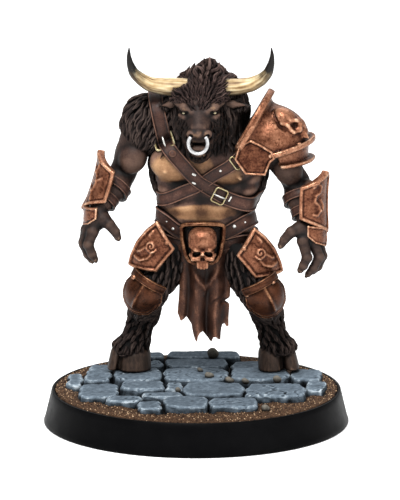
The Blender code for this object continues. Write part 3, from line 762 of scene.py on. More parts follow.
def comb(tree, root, flow, length, lift, wave, low):
    """Points of one lock: it starts under the skin, follows the flow and rises to its tip."""
    steps = 6
    where, normal, _, _ = tree.find_nearest(root)
    path = [where - normal * 0.25]
    at = where
    phase = random.uniform(0, tau)
    for k in range(1, steps + 1):
        way = flow(at)
        way -= normal * way.dot(normal)
        if way.length < 1e-4:
            way = normal.orthogonal()
        way.normalize()
        sway = normal.cross(way) * sin(phase + k * 1.3) * wave
        at = at + (way + sway) * length / steps
        at, normal, _, _ = tree.find_nearest(at)
        share = k / steps
        path.append(at + normal * (lift * (low + (1 - low) * share)))
    return path


def coat(name, skin, chosen, seed, flow, spacing, length, width, lift, wave, paint="fur", low=0.45):
    """Locks of hair, rooted where the test is met; all sizes are in millimetres."""
    points, _, tree = skin
    roots = strewn_roots(points, spacing, chosen, seed)
    random.seed(seed)
    guides = bpy.data.curves.new(name, "CURVE")
    guides.dimensions = "3D"
    for root in roots:
        long = length * random.uniform(0.8, 1.2)
        wide = width * random.uniform(0.85, 1.2)
        path = comb(tree, root, flow, long, lift * random.uniform(0.7, 1.3), wave, low)
        spline = guides.splines.new("POLY")
        spline.points.add(len(path) - 1)
        for k, (point, place) in enumerate(zip(spline.points, set_down([tuple(p) for p in path]))):
            point.co = (*place, 1)
            share = k / (len(path) - 1)
            bulge = (0.75 + 0.9 * share) * (1 - share ** 2.2) + 0.03
            point.radius = wide * bulge * UNIT
    source = placed(name + " guides", guides)
    return grown(name, source, trees["lock"], {"Material": paints[paint]}, "fur")


def studs(name, places, size, paint="bronze", slot="bronze", flatness=0.7):
    """Round heads at these places, each a point and the way that it faces, in millimetres."""
    mesh = bpy.data.meshes.new(name)
    mesh.from_pydata(set_down([tuple(p) for p, _ in places]), [], [])
    layer = mesh.attributes.new("facing", "FLOAT_VECTOR", "POINT")
    layer.data.foreach_set("vector", np.array([tuple(n) for _, n in places], np.float32).ravel())
    sizes = size if hasattr(size, "__len__") else [size] * len(places)
    marked(mesh, "size", np.array(sizes) * UNIT)
    source = placed(name + " points", mesh)
    settings = {"Flatness": flatness, "Material": paints[paint]}
    return grown(name, source, trees["stud"], settings, slot, reach=0.2)


# Straps and tubes

def resampled(points, step):
    """A smooth path through the points with even steps."""
    points = np.array([tuple(p) for p in points], float)
    length = np.concatenate(([0], np.cumsum(np.linalg.norm(np.diff(points, axis=0), axis=1))))
    count = max(int(length[-1] / step), 4)
    even = np.linspace(0, length[-1], count)
    path = np.stack([np.interp(even, length, points[:, k]) for k in range(3)], 1)
    for _ in range(3):
        path[1:-1] = (path[:-2] + path[1:-1] * 2 + path[2:]) / 4
    return path


def ribbon(centres, normals, width, thickness):
    """A closed strap with beaded edges along points of the skin, and how far each point stands out."""
    bead = 0.13
    centres, normals = np.asarray(centres, float), np.asarray(normals, float)
    count = len(centres)
    half = width / 2
    section = [
        (-half, -0.5, -0.6), (-half, 0.6, -0.05), (-half + bead * 0.4, 1.0, 0.26),
        (-half + bead * 1.4, 1.0, 0.16),
        (-half + bead * 2.2, 0.72, -0.16), (-half * 0.55, 0.8, 0.0), (0, 0.84, 0.05),
    ]
    section += [(-s, h, r) for s, h, r in section[-2::-1]]
    along = np.roll(centres, -1, 0) - np.roll(centres, 1, 0)
    side = np.cross(along, normals)
    side /= np.linalg.norm(side, axis=1)[:, None] + 1e-9
    rows = np.stack([centres + side * s + normals * h * thickness for s, h, _ in section], 1)
    n = len(section)
    faces = []
    for i in range(count):
        j = (i + 1) % count
        for k in range(n):
            m = (k + 1) % n
            faces.append([i * n + k, i * n + m, j * n + m, j * n + k])
    return rows.reshape(-1, 3), faces, np.tile([r for _, _, r in section], count)


def band_round(tree, centre, axis, width):
    """A strap wrapped once round a limb."""
    thickness, steps = 0.35, 44
    centre, axis = Vector(centre), Vector(axis).normalized()
    first = axis.orthogonal().normalized()
    second = axis.cross(first)
    points, normals = [], []
    for k in range(steps):
        turn = tau * k / steps
        out = first * cos(turn) + second * sin(turn)
        hit, _, _, _ = tree.ray_cast(centre + out * 6, -out)
        points.append(tuple((hit or centre + out * 2) + out * 0.05))
        normals.append(tuple(out))
    return ribbon(points, normals, width, thickness)


def tube(points, radii, sides, closed=False):
    """A round bar through the points, with one radius or a radius at each."""
    path = np.array([tuple(p) for p in points], float)
    count = len(path)
    radii = np.array(radii, float) if hasattr(radii, "__len__") else np.full(count, float(radii))
    if closed:
        along = np.roll(path, -1, 0) - np.roll(path, 1, 0)
    else:
        along = np.gradient(path, axis=0)
    along /= np.linalg.norm(along, axis=1)[:, None] + 1e-9
    side = Vector(along[0]).orthogonal().normalized()
    rows = []
    for k in range(count):
        way = Vector(along[k])
        side = (side - way * side.dot(way)).normalized()
        other = way.cross(side)
        for j in range(sides):
            turn = tau * j / sides
            out = side * cos(turn) * radii[k]
            rows.append(Vector(path[k]) + out + other * sin(turn) * radii[k])
    faces = []
    for i in range(count if closed else count - 1):
        for j in range(sides):
            a, b = i * sides + j, i * sides + (j + 1) % sides
            c = ((i + 1) % count) * sides
            faces.append([a, b, c + (j + 1) % sides, c + j])
    if not closed:
        faces.append(list(range(sides))[::-1])
        faces.append([(count - 1) * sides + j for j in range(sides)])
    return np.array([tuple(p) for p in rows]), faces


# Armour

def facing(centre, normal, up):
    """A matrix whose z is the outward normal and whose y is as near to up as it can be."""
    z = Vector(normal).normalized()
    x = Vector(up).cross(z).normalized()
    y = z.cross(x)
    return Matrix.Translation(centre) @ Matrix((x, y, z)).transposed().to_4x4()


def bent(x, y, z, round_x, round_y):
    """A point of a flat plate after it is bent to a radius across and a radius along."""
    if round_x:
        x, z = (round_x + z) * sin(x / round_x), (round_x + z) * cos(x / round_x) - round_x
    if round_y:
        y, z = (round_y + z) * sin(y / round_y), (round_y + z) * cos(y / round_y) - round_y
    return x, y, z


def flattened(x, y, z, round_x, round_y):
    """The way back from a bent plate to the flat one, for whole grids."""
    if round_y:
        s = copysign(1, round_y)
        y, z = round_y * np.arctan2(s * y, s * (z + round_y)), s * np.hypot(y, z + round_y) - round_y
    if round_x:
        s = copysign(1, round_x)
        x, z = round_x * np.arctan2(s * x, s * (z + round_x)), s * np.hypot(x, z + round_x) - round_x
    return x, y, z


def from_segment(x, y, first, second):
    """The squared distance to a straight piece of a line."""
    ex, ey = second[0] - first[0], second[1] - first[1]
    t = np.clip(((x - first[0]) * ex + (y - first[1]) * ey) / (ex * ex + ey * ey + 1e-9), 0, 1)
    return (x - first[0] - t * ex) ** 2 + (y - first[1] - t * ey) ** 2


def from_outline(x, y, corners):
    """The distance to a closed outline, below zero inside."""
    nearest = np.full(np.broadcast(x, y).shape, 1e9)
    inside = np.zeros(nearest.shape, bool)
    for (ax, ay), (bx, by) in zip(corners, corners[1:] + corners[:1]):
        nearest = np.minimum(nearest, from_segment(x, y, (ax, ay), (bx, by)))
        if by != ay:
            inside ^= ((y >= ay) != (y >= by)) & (x < ax + (y - ay) * (bx - ax) / (by - ay))
    return np.where(inside, -1, 1) * np.sqrt(nearest)


def from_stroke(x, y, points):
    """The distance to an open line."""
    nearest = np.full(np.broadcast(x, y).shape, 1e9)
    for first, second in zip(points, points[1:]):
        nearest = np.minimum(nearest, from_segment(x, y, first, second))
    return np.sqrt(nearest)


def plate(place, outline, thickness, rim, rise, cell, round_x=0, round_y=0, motif=(), lip=0.35, field=0.06,
          sink=0.0):
    """An armour plate bent over a limb: a raised rim, and strokes that stand out of it or are cut into it.

    Each stroke of the motif is its points, its width and its height. The field inside the rim is sunk
    and darkened by the last two numbers, and the shade of every point comes back with the shape.
    """
    outline = [tuple(p) for p in outline]
    edge_points = [
        (ax + (bx - ax) * t, ay + (by - ay) * t)
        for (ax, ay), (bx, by) in zip(outline, outline[1:] + outline[:1])
        for t in (0, 0.25, 0.5, 0.75)
    ]
    border = [bent(x, y, z, round_x, round_y) for x, y in edge_points for z in (-thickness, rise)]
    border += [bent(x, y, rise, round_x, round_y) for x in (-1, 0, 1) for y in (-1, 0, 1)]
    low, high = np.min(border, 0) - 0.5, np.max(border, 0) + 0.5
    axes = [np.arange(low[k], high[k] + cell, cell) for k in range(3)]
    grid = np.meshgrid(*axes, indexing="ij")
    x, y, z = flattened(*grid, round_x, round_y)
    edge = from_outline(x, y, outline)
    inner = np.clip((-edge - rim * 0.8) / (rim * 0.35), 0, 1)
    inner = inner * inner * (3 - 2 * inner)
    top = rise * (1 - inner) - sink * inner
    # A fine groove runs along the rim's inner side
    top -= 0.1 * np.exp(-((-edge - rim * 1.15) / 0.12) ** 2)
    for points, width, height in motif:
        top += height * np.exp(-(from_stroke(x, y, points) / width) ** 2)
    depth = soft_max(soft_max(z - top, edge, lip), -z - thickness, 0.2)
    points, faces = wrap(depth.astype(np.float32))
    points = points * cell + low
    x, y, z = flattened(*points.T, round_x, round_y)
    inner = np.clip((-from_outline(x, y, outline) - rim * 0.85) / (rim * 0.3 + 0.05), 0, 1)
    inner *= z > -thickness * 0.5
    raised = np.zeros(len(x))
    for stroke, width, height in motif:
        raised += np.exp(-(from_stroke(x, y, stroke) / width) ** 2) * np.sign(height)
    turn = np.array(place.to_3x3())
    return points @ turn.T + np.array(place.translation), faces, -field * inner * (1 - np.clip(raised, 0, 1))


def mirrored(half):
    """A symmetrical outline from its right half, listed from the top down."""
    return list(half) + [(-x, y) for x, y in half[::-1]]


def armour(name, part, reach=0.35, paint="bronze"):
    """A plate as a finished piece."""
    points, faces, shade = part
    solid(name, points, faces, paint, "bronze", reach, shade=shade)
    return skin_tree(points, faces)


def curl(centre, radius, start, sweep, steps, shrink):
    """Points of a spiral, angles in degrees."""
    points = []
    for k in range(steps + 1):
        share = k / steps
        turn = radians(start + sweep * share)
        size = radius * (1 - shrink * share)
        points.append((centre[0] + size * cos(turn), centre[1] + size * sin(turn)))
    return points


# The body

def torso():
    """Chest, belly and neck, with the pectorals and the rows of the belly pressed on."""
    clay = Clay((-12, -4, 15), (16, 13, 49), 0.27)
    clay.ball(CHEST, (8.5, 5.1, 6.4), soft=0)
    clay.ball(WAIST, (7.0, 4.4, 5.6), soft=2.5)
    clay.ball(PELVIS, (6.8, 4.7, 4.4), soft=1.5)
    for side in (-1, 1):
        clay.ball((2.1 + side * 6.0, 5.8, 33.0), (3.2, 3.8, 6.2), (0, side * 12, 0), soft=1.5)
        clay.ball((1.9 + side * 5.2, 4.6, 24.6), (2.4, 3.6, 3.4), (0, -side * 10, 0), soft=1.2)
    clay.limb(((1.8, 5.6, 39.0), (1.2, 3.6, 43.0), (HEAD_X, 1.6, 45.6)), (5.8, 5.0, 3.4), soft=1.5)
    clay.ball((1.9, 6.4, 43.6), (6.0, 4.8, 5.6), soft=1.5)
    # Pectorals hang over a crease
    for centre in ((-3.4, 1.6, 35.7), (5.5, 1.6, 35.3)):
        clay.ball(centre, (4.2, 2.1, 3.2), (0, 0, 0), soft=0.7)
    for x, z in ((-5.05, 34.5), (7.2, 33.3)):
        clay.ball((x, -0.1, z), (0.36, 0.3, 0.36), soft=0.15)
    # Rows of the belly on both sides of its middle line
    for height in (30.6, 28.2, 25.9):
        for side in (-1, 1):
            clay.ball((0.87 + side * 2.25, 1.75, height), (2.5, 1.3, 1.5), (0, side * 4, 0), soft=1.0)
            clay.ball((0.95 + side * 5.2, 2.8, height + 0.5), (1.9, 1.5, 1.6), (0, -side * 22, 0), soft=1.0)
    clay.limb(((0.87, 0.1, 32.6), (0.87, 0.2, 24.0)), (0.14, 0.14), soft=0.5, cut=True)
    for side in (-1, 1):
        for k in range(3):
            clay.ball(
                (1.9 + side * (7.0 - 0.5 * k), 2.9, 32.6 - 2.0 * k), (1.5, 1.6, 1.1), (0, -side * 30, 0),
                soft=0.8,
            )
        # Shoulder blades and the long muscles of the back
        clay.ball((2.0 + side * 4.6, 9.3, 37.0), (3.2, 1.7, 3.6), (0, side * 14, 0), soft=0.8)
        clay.limb(((2.0 + side * 2.0, 9.3, 33), (1.8 + side * 2.0, 9.2, 24)), (1.7, 1.9), soft=0.6)
    return clay.skin()


def tan_mark(points):
    """Where the skin is tan: both pectorals, a little of the breastbone and a lens on the belly."""
    patches = (
        (-4.1, 35.0, 3.0, 2.5, 1.0), (4.6, 33.8, 2.8, 2.0, 0.6), (0.7, 35.4, 2.2, 2.4, 0.6),
        (0.9, 27.45, 5.4, 1.25, 1.0),
    )
    strength = np.zeros(len(points))
    for x, z, wide, high, strong in patches:
        away = np.hypot((points[:, 0] - x) / wide, (points[:, 2] - z) / high)
        strength = np.maximum(strength, strong * np.clip((1.25 - away) / 0.45, 0, 1))
    return strength * np.clip((4.0 - points[:, 1]) / 1.6, 0, 1)


def arm(bones, biceps, side):
    """Upper arm and forearm with the muscles that show."""
    shoulder, elbow, wrist = (np.array(p) for p in bones)
    low = np.min([shoulder, elbow, wrist], 0) - 5
    high = np.max([shoulder, elbow, wrist], 0) + 5
    clay = Clay(low, high, 0.25)
    clay.limb((shoulder, (shoulder + elbow) / 2, elbow), (3.3, 2.7, 2.0), soft=0)
    clay.ball(biceps, (2.3, 2.2, 2.8), (0, -side * 24, 0), soft=0.4)
    clay.ball((shoulder + elbow) / 2 + (side * 0.8, 1.4, -0.3), (2.0, 2.0, 3.2), (0, -side * 24, 0), soft=0.5)
    clay.limb((elbow, elbow + (wrist - elbow) * 0.35, wrist), (2.1, 2.4, 1.45), soft=0.8)
    clay.ball(
        elbow + (wrist - elbow) * 0.3 + (side * 1.0, -0.5, 0.4), (1.5, 1.6, 2.4), (20, side * 20, 0),
        soft=0.4,
    )
    clay.ball(elbow + (0, 1.6, -0.4), (1.0, 0.8, 1.0), soft=0.5)
    return clay.skin()


def hand(wrist, palm, fingers, thumb):
    """A big half-curled hand: each finger is its knuckle, two joints and tip."""
    reach = np.array([p for finger in (*fingers, thumb) for p in finger] + [wrist, palm])
    clay = Clay(reach.min(0) - 2.0, reach.max(0) + 2.0, 0.16)
    clay.limb((wrist, palm), (1.5, 1.75), soft=0)
    for finger in fingers:
        knuckle, middle, end, tip = (np.array(p) for p in finger)
        clay.limb((palm, knuckle), (1.2, 1.0), soft=0.4)
        clay.limb((knuckle, middle), (0.94, 0.82), soft=0.25)
        clay.ball(middle + (0, -0.05, 0), 0.9, soft=0.15)
        clay.limb((middle, end), (0.82, 0.74), soft=0.15)
        clay.ball(end, 0.78, soft=0.12)
        clay.limb((end, end * 0.3 + tip * 0.7), (0.72, 0.56), soft=0.15)
    knuckle, middle, end, tip = (np.array(p) for p in thumb)
    clay.limb((palm, knuckle, middle), (1.3, 1.15, 0.92), soft=0.5)
    clay.limb((middle, end), (0.92, 0.8), soft=0.2)
    clay.limb((end, end * 0.3 + tip * 0.7), (0.78, 0.6), soft=0.15)
    return clay.skin()


def claws(fingers):
    """A short blunt nail on each finger."""
    parts = []
    for finger in fingers:
        end, tip = np.array(finger[2]), np.array(finger[3])
        start = end * 0.4 + tip * 0.6
        way = tip - start
        path = [
            start + (0, -0.3, 0), start + way * 0.5 + (0, -0.26, 0), start + way * 1.0 + (0, -0.1, 0),
            start + way * 1.25,
        ]
        parts.append(tube(path, (0.36, 0.36, 0.28, 0.06), 10))
    return gathered(parts)


RIGHT_ARM = ((-8.6, 4.2, 41.2), (-12.1, 5.0, 33.0), (-15.7, 1.0, 28.2))
LEFT_ARM = ((11.2, 4.2, 40.2), (16.4, 5.0, 31.6), (18.0, 1.2, 25.8))
RIGHT_FINGERS = (
    ((-16.9, -0.9, 24.6), (-17.6, -1.6, 22.6), (-17.0, -1.9, 21.1), (-16.3, -1.7, 19.8)),
    ((-17.6, 0.1, 24.4), (-18.3, -0.4, 22.4), (-17.7, -0.7, 20.8), (-16.9, -0.6, 19.4)),
    ((-17.9, 1.2, 24.5), (-18.4, 1.1, 22.4), (-17.9, 0.8, 21.2), (-17.1, 0.7, 20.0)),
    ((-17.6, 2.2, 24.8), (-18.0, 2.3, 23.0), (-17.6, 2.1, 21.9), (-17.0, 2.0, 21.0)),
)
RIGHT_THUMB = ((-15.2, -0.3, 26.6), (-14.2, -1.0, 25.9), (-13.2, -1.2, 24.7), (-12.6, -1.2, 23.3))
LEFT_FINGERS = (
    ((17.4, -1.0, 23.1), (18.1, -1.8, 20.5), (17.5, -2.0, 19.2), (16.8, -1.8, 18.1)),
    ((19.1, 0.0, 22.6), (20.1, -0.7, 20.3), (19.2, -1.0, 18.6), (17.9, -0.9, 17.1)),
    ((19.9, 1.0, 22.3), (20.6, 0.7, 20.2), (19.9, 0.5, 18.5), (18.8, 0.5, 17.3)),
    ((19.6, 2.0, 22.6), (20.3, 2.2, 20.9), (19.9, 2.1, 19.4), (19.2, 2.0, 18.3)),
)
LEFT_THUMB = ((16.9, -0.4, 25.0), (15.5, -1.1, 24.6), (14.4, -1.3, 23.4), (13.6, -1.2, 22.0))


def leg(bones, out):
    """Thigh, shank and cannon under the coat, with a pastern that spreads over both toes."""
    hip, knee, hock, fetlock = (np.array(p) for p in bones)
    clay = Clay(np.min(bones, 0) - (6, 6, 3), np.max(bones, 0) + (6, 6, 3), 0.33)
    clay.limb((hip, hip + (knee - hip) * 0.45, knee), (4.2, 3.6, 2.7), soft=0)
    clay.limb((knee, hock), (2.6, 1.9), soft=1.0)
    clay.limb((hock, fetlock + (-out * 0.5, 0, 1.4)), (1.75, 1.75), soft=1.0)
    clay.ball(fetlock + (out * 0.5, 0.1, -0.5), (2.35, 2.3, 1.3), soft=1.6)
    clay.ball((hip + knee) / 2 + (0, -1.0, 0.5), (2.6, 2.4, 3.6), soft=0.6)
    return clay.skin()


# Each toe: the middle and half sizes of its top, then of its sole
RIGHT_INNER_TOE = ((-9.86, 6.2, 2.3, 2.2), (-10.17, 5.6, 2.78, 2.7))
RIGHT_OUTER_TOE = ((-12.7, 7.0, 1.1, 1.8), (-13.75, 6.1, 0.95, 2.3))
LEFT_INNER_TOE = ((12.0, 6.2, 1.85, 2.2), (12.3, 5.6, 2.1, 2.6))
LEFT_OUTER_TOE = ((14.7, 7.0, 1.3, 1.8), (15.75, 6.1, 1.3, 2.4))


def hoof(inner, outer):
    """Two toes on flat soles with a deep cleft between them."""
    ends = np.array([(*end[:2], 0) for toe in (inner, outer) for end in toe])
    clay = Clay(ends.min(0) - (4, 4, 0.8), ends.max(0) + (4, 4, 5.6), 0.17)
    for toe in (inner, outer):
        clay.trunk(*toe, height=4.0)
    away = np.sign(outer[1][0] - inner[1][0])
    sole_edge, top_edge = (inner[k][0] + away * inner[k][2] for k in (1, 0))
    for low_y, top_y, wide in ((3.0, 3.7, 0.5), (4.2, 4.6, 0.45)):
        cleft = ((sole_edge - away * 0.1, low_y, -0.3), (top_edge, top_y, 4.2))
        clay.limb(cleft, (wide, 0.36), soft=0.1, cut=True)
    return clay.skin()


# The head

def head():
    """A bull's head: low brows over slit eyes, a flat-topped muzzle, an open mouth and a heavy jaw."""
    clay = Clay((-7.5, -8.5, 36), (10.5, 9.5, 53), 0.16)
    x0 = HEAD_X
    clay.ball((x0, 0.0, 46.0), (3.7, 3.5, 3.5), soft=0)
    clay.ball((1.9, 2.0, 47.6), (3.3, 3.4, 3.3), soft=1.2)
    clay.ball((1.9, 4.4, 46.0), (4.6, 4.0, 4.3), soft=1.2)
    clay.limb(((1.9, 1.8, 49.0), (2.0, 1.2, 51.2)), (2.2, 0.7), soft=0.8)
    clay.limb(((x0, -1.6, 45.0), (0.4, -4.7, 42.5)), (2.6, 1.75), soft=1.0)
    clay.slab((0.38, -4.35, 43.9), (1.2, 2.1, 0.6), (42, 0, 0), soft=0.3)
    clay.limb(((x0, -0.6, 41.8), (0.4, -4.2, 39.8)), (2.7, 1.45), soft=0.8)
    clay.ball((0.36, -4.7, 41.6), (2.0, 1.6, 1.5), soft=0.5)
    clay.slab((0.38, -6.1, 40.25), (1.1, 1.5, 0.3), corner=0.25, soft=0.2, cut=True)
    clay.ball((0.38, -5.3, 39.55), (1.25, 0.8, 0.45), soft=0.3)
    clay.ball((0.4, -4.6, 38.6), (1.3, 1.0, 0.9), soft=0.5)
    clay.ball((0.36, -6.05, 42.05), (1.0, 0.8, 0.75), soft=0.3)
    for side in (-1, 1):
        def at(x, y, z):
            return (x0 + side * x, y, z)

        clay.limb(
            (at(3.7, -2.0, 46.5), at(2.5, -3.3, 45.95), at(1.15, -4.0, 45.2)), (0.5, 0.62, 0.5), soft=0.5,
        )
        clay.ball(at(2.5, -3.95, 44.9), (0.85, 0.75, 0.3), (0, side * 30, 0), soft=0.2, cut=True)
        clay.limb(
            (at(3.2, -2.9, 44.6), at(2.4, -3.45, 44.3), at(1.7, -3.8, 44.3)), (0.18, 0.24, 0.18), soft=0.25,
        )
        clay.ball(at(2.1, -1.8, 43.2), (1.5, 2.0, 1.7), soft=1.0)
        clay.ball(at(1.25, -6.05, 42.05), (0.85, 0.75, 0.72), soft=0.25)
        clay.ball(at(1.42, -6.75, 41.8), (0.4, 0.62, 0.36), (0, side * 20, side * 15), soft=0.12, cut=True)
        for k, high in enumerate((43.0, 43.4)):
            clay.limb(
                (at(0.0, -5.6 + 0.4 * k, high + 0.05), at(1.2, -5.35 + 0.4 * k, high - 0.25)), 0.12,
                soft=0.15, cut=True,
            )
        # Ears
        root, tip = at(3.3, 0.4, 45.85), at(6.0 + 1.6 * (side > 0), 0.0, 45.5)
        middle = tuple((a + b) / 2 for a, b in zip(root, tip))
        clay.limb((root, middle, tip), (0.5, 0.62, 0.12), soft=0.3)
        clay.limb(
            ((middle[0] - side * 1.1, -0.75, 45.5), (middle[0] + side * 1.1, -0.6, 45.35)), (0.42, 0.2),
            soft=0.12, cut=True,
        )
    return clay.skin()


def horn(path, flutes):
    """A horn swept along its middle line, fluted lengthwise and thinning to its tip."""
    path = resampled(path, 0.22)
    count = len(path)
    share = np.linspace(0, 1, count)
    radii = 1.5 * (1 - share ** 1.9) + 0.1
    sides = 48
    points, faces = tube(path, radii, sides)
    rows = points.reshape(count, sides, 3)
    turn = np.arange(sides) / sides * tau
    groove = np.zeros((count, sides))
    for k in range(count):
        for j in range(sides):
            at = Vector((cos(turn[j]) * 2.6, sin(turn[j]) * 2.6, share[k] * 2.2 + flutes))
            groove[k, j] = 0.5 + 0.5 * noise(at * 1.7) + 0.25 * noise(at * 4.1)
    groove = np.clip(groove, 0, 1)
    away = rows - path[:, None]
    rows = path[:, None] + away * (1 - 0.13 * groove * (1 - share ** 3)[:, None])[:, :, None]
    under = np.clip(-(away[:, :, 2] / (np.linalg.norm(away, axis=2) + 1e-9)), 0, 1) * 0.8
    return rows.reshape(-1, 3), faces, {
        "groove": groove.ravel(), "along": np.repeat(share, sides), "under": under.ravel(),
    }


# Worn things

# How far the line of sight from in front falls for each millimetre that it runs back
SIGHT_FALL = 0.2328


def front(tree, x, height, lift=0.0):
    """The point of a skin that is seen from in front at x and at that height above the soles' plane."""
    start = Vector((x, -30, height + SIGHT_FALL * 30))
    hit, normal, _, _ = tree.ray_cast(start, Vector((0, 1, -SIGHT_FALL)))
    if hit is None:
        hit, normal, _, _ = tree.find_nearest(Vector((x, -2, height)))
    return hit + normal * lift, normal


def strap(tree, seen, hidden, width, thickness):
    """A strap laid on the skin: through the points seen from in front, then through the hidden ones."""
    flat = resampled([(x, h, 0) for x, h in seen], 0.3)
    laid = [front(tree, x, h) for x, h, _ in flat]
    guide = [laid[-1][0]] + [tree.find_nearest(Vector(p))[0] for p in hidden] + [laid[0][0]]
    laid += [tree.find_nearest(Vector(p))[:2] for p in resampled(guide, 0.3)[1:-1]]
    points = np.array([tuple(p) for p, _ in laid])
    normals = np.array([tuple(n) for _, n in laid])
    raw = points.copy()
    for _ in range(10):
        points = (np.roll(points, 1, 0) + 2 * points + np.roll(points, -1, 0)) / 4
    for _ in range(30):
        normals = (np.roll(normals, 1, 0) + 2 * normals + np.roll(normals, -1, 0)) / 4
    normals /= np.linalg.norm(normals, axis=1)[:, None]
    # Smoothing sinks the strap where the skin stands out, so it is lifted back there
    sunk = np.maximum(((raw - points) * normals).sum(1), 0)
    for _ in range(6):
        sunk = np.maximum(sunk, (np.roll(sunk, 1) + np.roll(sunk, -1)) / 2)
    points += normals * (sunk[:, None] + 0.05)
    return ribbon(points, normals, width, thickness)


def strap_buckle(tree, x, height, along, across, long, wire, lift, normal=None):
    """A rounded frame on a strap with its tongue: the frame's two sizes are across and along the strap."""
    at, out = front(tree, x, height, lift)
    place = facing(at, normal or out, along)
    corner, path = 0.35, []
    for cx, cy, start in ((1, 1, 0), (-1, 1, 90), (-1, -1, 180), (1, -1, 270)):
        for k in range(5):
            turn = radians(start + 22.5 * k)
            path.append(place @ Vector((
                cx * (across / 2 - corner) + corner * cos(turn),
                cy * (long / 2 - corner) + corner * sin(turn), 0,
            )))
    loop = tube(path, wire, 10, closed=True)
    tongue = tube(
        [place @ Vector(p) for p in ((0, long / 2, 0), (0, 0.2, 0.3), (0, -long / 2, 0.15))],
        (0.16, 0.16, 0.12), 8
    )
    return loop, tongue


def skull_plate():
    """The belt's plate: a thick raised frame round a dark sunk field."""
    centre = (1.07, -1.3, 22.85)
    place = facing(centre, (0, -1, 0.1), (0, 0, 1))
    half = (
        (0.0, 3.45), (2.7, 3.3), (3.5, 3.05), (3.85, 2.5), (3.75, 0.6), (3.1, -2.2), (2.5, -3.2),
        (1.5, -3.7),
    )
    return plate(
        place, mirrored(half), thickness=1.9, rim=0.72, rise=0.45, round_x=9, cell=0.15, field=0.8,
        sink=0.35,
    )


def belt_skull():
    """The skull itself: a broad dome, a frowning brow over slit eyes, cheekbones and upper teeth."""
    clay = Clay((-2.4, -5, 16.8), (4.6, 1, 26.6), 0.12)
    x0 = 1.03
    clay.slab((x0, -1.2, 23.3), (2.3, 1.75, 2.15), (-6, 0, 0), corner=1.6, soft=0)
    clay.ball((x0, -1.6, 23.4), (2.25, 1.85, 2.0), soft=0.4)
    clay.slab((x0, -1.5, 21.2), (1.85, 1.4, 0.95), corner=0.7, soft=0.5)
    clay.slab((x0, -1.8, 19.8), (1.05, 0.95, 0.95), (8, 0, 0), corner=0.4, soft=0.5)
    for side in (-1, 1):
        def at(x, y, z):
            return (x0 + side * x, y, z)

        clay.limb(
            (at(2.0, -2.2, 22.5), at(1.1, -2.95, 22.0), at(0.2, -3.05, 21.3)), (0.2, 0.24, 0.26), soft=0.4,
        )
        clay.ball(at(1.08, -3.0, 21.2), (0.9, 0.85, 0.44), (0, side * 24, 0), soft=0.12, cut=True)
        clay.limb(
            (at(1.95, -2.0, 21.0), at(1.5, -2.6, 20.35), at(0.75, -2.8, 20.4)), (0.3, 0.36, 0.22), soft=0.3,
        )
        clay.ball(at(1.5, -2.5, 19.5), (0.5, 0.8, 0.6), soft=0.15, cut=True)
        clay.ball(at(0.16, -3.0, 20.35), (0.2, 0.5, 0.36), soft=0.1, cut=True)
        for k in (0, 1):
            clay.limb(
                (at(0.25 + 0.5 * k, -2.65, 19.6), at(0.24 + 0.46 * k, -2.65, 18.8 + 0.15 * k)), (0.24, 0.2),
                soft=0.12,
            )
    clay.trim((0, 0.2, 0), (0, 1, 0))
    return clay.skin()


def thigh_plate(centre, side):
    """A leaf of armour from the hip down the front of the thigh, with a curling motif."""
    leaf = ((0.1, 4.6), (1.5, 2.6), (2.8, 0.0), (3.5, -2.8), (3.7, -4.9), (-2.2, -3.8), (-4.3, 1.0))
    place = facing(centre, (side * 0.42, -0.9, 0.1), (-side * 0.29, 0, 1))
    motif = [
        (curl((-0.3, 0.2), 1.0, 200, 500, 22, 0.85), 0.2, 0.3),
        (((-0.9, -0.6), (-0.3, -1.9), (1.0, -2.7), (2.2, -2.5)), 0.3, 0.32),
        (((0.7, -0.4), (1.4, -1.2), (1.9, -1.4)), 0.22, 0.26),
        (((0.2, 2.6), (0.5, 1.9)), 0.25, 0.25),
    ]
    outline = [(side * x, y) for x, y in leaf]
    motif = [([(side * x, y) for x, y in stroke], width, height) for stroke, width, height in motif]
    return plate(
        place, outline, thickness=1.1, rim=0.6, rise=0.3, round_x=5.2, round_y=18, motif=motif, cell=0.16,
    )


def knee_cop(knee, normal, up):
    """A ridged cup over the knee with a double rim."""
    place = facing(knee, normal, up) @ Matrix.Translation((0, 0, 3.75))
    half = ((3.7, 2.3), (4.5, 0.3), (4.2, -2.2), (2.9, -4.2), (1.0, -4.9))
    motif = [
        (((0, 2.4), (0, -3.0)), 0.3, 0.3),
        (((-3.8, -1.0), (-3.4, -2.2), (-2.1, -3.6), (0, -4.1), (2.1, -3.6), (3.4, -2.2), (3.8, -1.0)),
         0.14, 0.16),
    ]
    return plate(
        place, mirrored(half), 1.0, rim=0.32, rise=0.2, round_x=3.75, round_y=4.2, motif=motif, cell=0.16,
    )


def knee_band(knee, normal, up):
    """The riveted band above the cup."""
    place = facing(knee, normal, up)
    out, above = place.to_3x3() @ Vector((0, 0, 1)), place.to_3x3() @ Vector((0, 1, 0))
    lifted = Matrix.Translation(above * 2.2 + out * 3.95) @ place
    outline = ((-3.9, -0.65), (3.9, -0.65), (3.9, 0.65), (-3.9, 0.65))
    return plate(lifted, outline, thickness=0.9, rim=0.16, rise=0.12, round_x=3.9, cell=0.15, lip=0.2)


def bracer(centre, normal, up, side, motif):
    """The forearm guard: its back edge rises to a point, and its lower edge slants and flares."""
    outline = ((2.2, 4.9), (3.4, 3.9), (3.6, -3.6), (2.6, -5.3), (0.6, -4.5), (-3.3, -2.6), (-3.3, 2.5))
    outline = [(side * x, y) for x, y in outline]
    place = facing(centre, normal, up)
    return plate(place, outline, 1.0, rim=0.6, rise=0.28, round_x=3.8, round_y=-28, motif=motif, cell=0.16)


